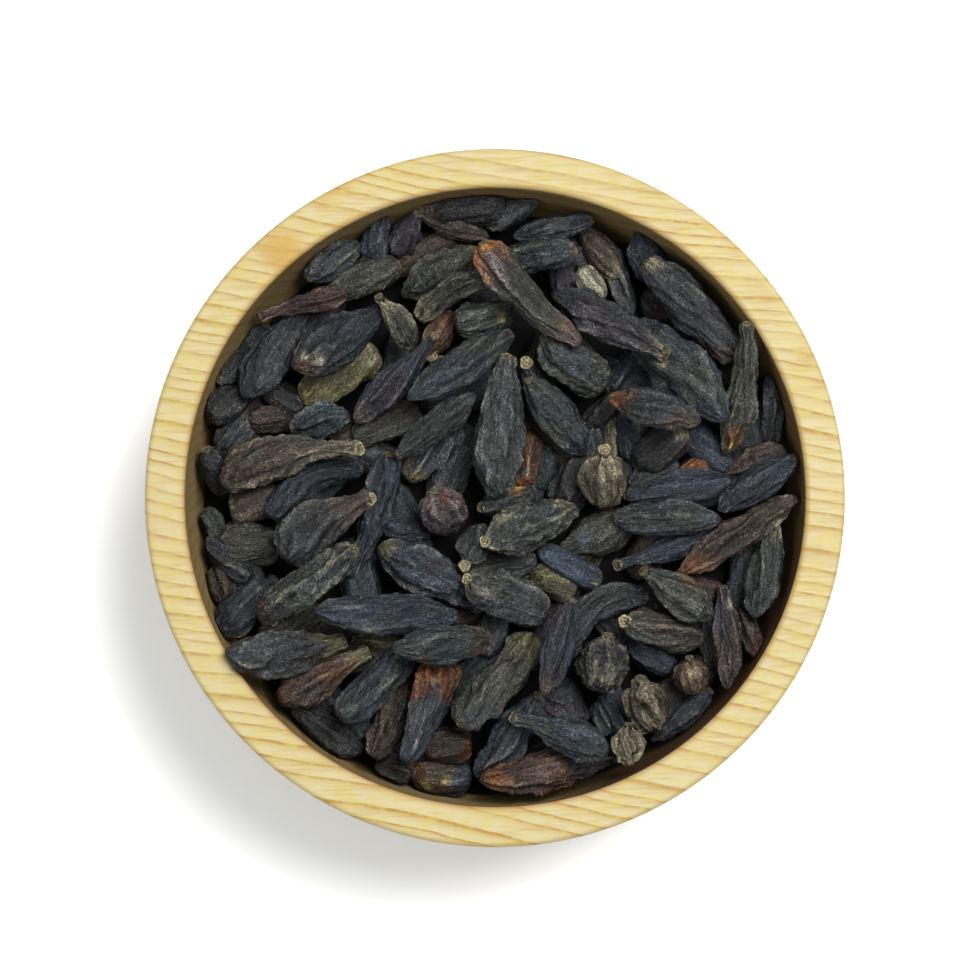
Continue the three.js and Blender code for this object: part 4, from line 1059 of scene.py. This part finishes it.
rows = bedRows()
darkSkins = ["blueBlack", "dark", "purple", "grey", "darkBrown", "teal"]
lowGrids, deepGrids = [], []
for index, row in enumerate(rows):
    low = index < len(lowFruits)
    seed = 900 + index if low else 700 + index - len(lowFruits)
    rings, poles = measuredRings(row, heap["fullness"], seed)
    look = {"skin": darkSkins[int(draw(seed + 0.9) * len(darkSkins))]}
    if low and index in lowLooks:
        look["skin"] = lowLooks[index][0]
        if lowLooks[index][1]:
            look["tip"] = lowLooks[index][1]
    if index in lowSmooth:
        look["soft"] = skin["smoothLow"]
    if low and index in lowScars:
        look["nod"], look["scar"], look["bright"] = lowScars[index]
    size = detail["low"] if low else detail["deep"]
    (lowGrids if low else deepGrids).extend(fruitGrid(rings, poles, size, look, seed, True))
middle = len(lowGrids) // 4 * 2
for name, grids in (("bed_one", lowGrids[:middle]), ("bed_two", lowGrids[middle:]), ("bed_deep", deepGrids)):
    piece = meshOf(name, grids, fruitMaterial)
    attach(piece, "root")
    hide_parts("fruit_bed")

coreFloor = bowl["floor"] + heap["coreFloorGap"]
coreReach = bowl["mouth"] - heap["coreWallGap"]
coreProfile = [(0, coreFloor), (heap["coreFlat"], coreFloor), heap["coreHeel"]]
coreProfile += [(coreReach, heap["coreTop"]), (0, heap["coreTop"])]
core = turned("bed_shade_core", coreProfile, heap["coreSides"], material("core", shadeCore))
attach(core, "root")
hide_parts("fruit_bed")
print("bed done")

fineBowl = turned("bowl_wood", bowlProfile(), bowl["sides"], material("pine", pine))
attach(fineBowl, "root")
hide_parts("bowl")
print("bowl done")

# Floor, light and camera, in metres
camera = {
    "aim": (0, 0, 0.05),
    "elevation": 86,
    "distance": 0.95,
    "lens": 178,
    "shift": (-0.0156, 0.0172),
}
studio = {
    "lit": (0, 0, 0.04),
    "key": {"place": (0.42, 0.36, 1.25), "size": 0.75, "power": 29, "colour": (1.0, 0.99, 0.975)},
    "fill": {"place": (-0.9, -0.5, 1.2), "size": 1.2, "power": 7, "colour": (0.94, 0.97, 1.0)},
    "world": (0.95, 0.975, 1.0, 1),
    "worldStrength": 0.6,
    "floor": (0.93, 0.93, 0.93, 1),
    "floorSize": 6,
}
bpy.ops.mesh.primitive_plane_add(size=studio["floorSize"], location=(0, 0, 0))
floor = bpy.context.object
floor.name = "floor"
floor.data.materials.append(material("floor", paleFloor))
floor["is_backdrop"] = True

aim = Vector(camera["aim"])
for name in ("key", "fill"):
    light = studio[name]
    lamp = bpy.data.lights.new(name, "AREA")
    lamp.shape = "DISK"
    lamp.size = light["size"]
    lamp.energy = light["power"]
    lamp.color = light["colour"]
    thing = bpy.data.objects.new(name, lamp)
    thing.location = light["place"]
    thing.rotation_euler = (Vector(studio["lit"]) - thing.location).to_track_quat("-Z", "Y").to_euler()
    bpy.context.scene.collection.objects.link(thing)

world = bpy.data.worlds.new("studio")
world.use_nodes = True
world.node_tree.nodes["Background"].inputs["Color"].default_value = studio["world"]
world.node_tree.nodes["Background"].inputs["Strength"].default_value = studio["worldStrength"]
bpy.context.scene.world = world
bpy.context.scene.view_settings.view_transform = "Standard"

elevation = math.radians(camera["elevation"])
eye = bpy.data.objects.new("camera", bpy.data.cameras.new("camera"))
eye.location = aim + camera["distance"] * Vector((0, -math.cos(elevation), math.sin(elevation)))
eye.rotation_euler = (aim - eye.location).to_track_quat("-Z", "Y").to_euler()
eye.data.sensor_width = 36
eye.data.lens = camera["lens"]
eye.data.clip_end = 20
eye.data.shift_x, eye.data.shift_y = camera["shift"]
bpy.context.scene.collection.objects.link(eye)
bpy.context.scene.camera = eye

low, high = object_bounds()
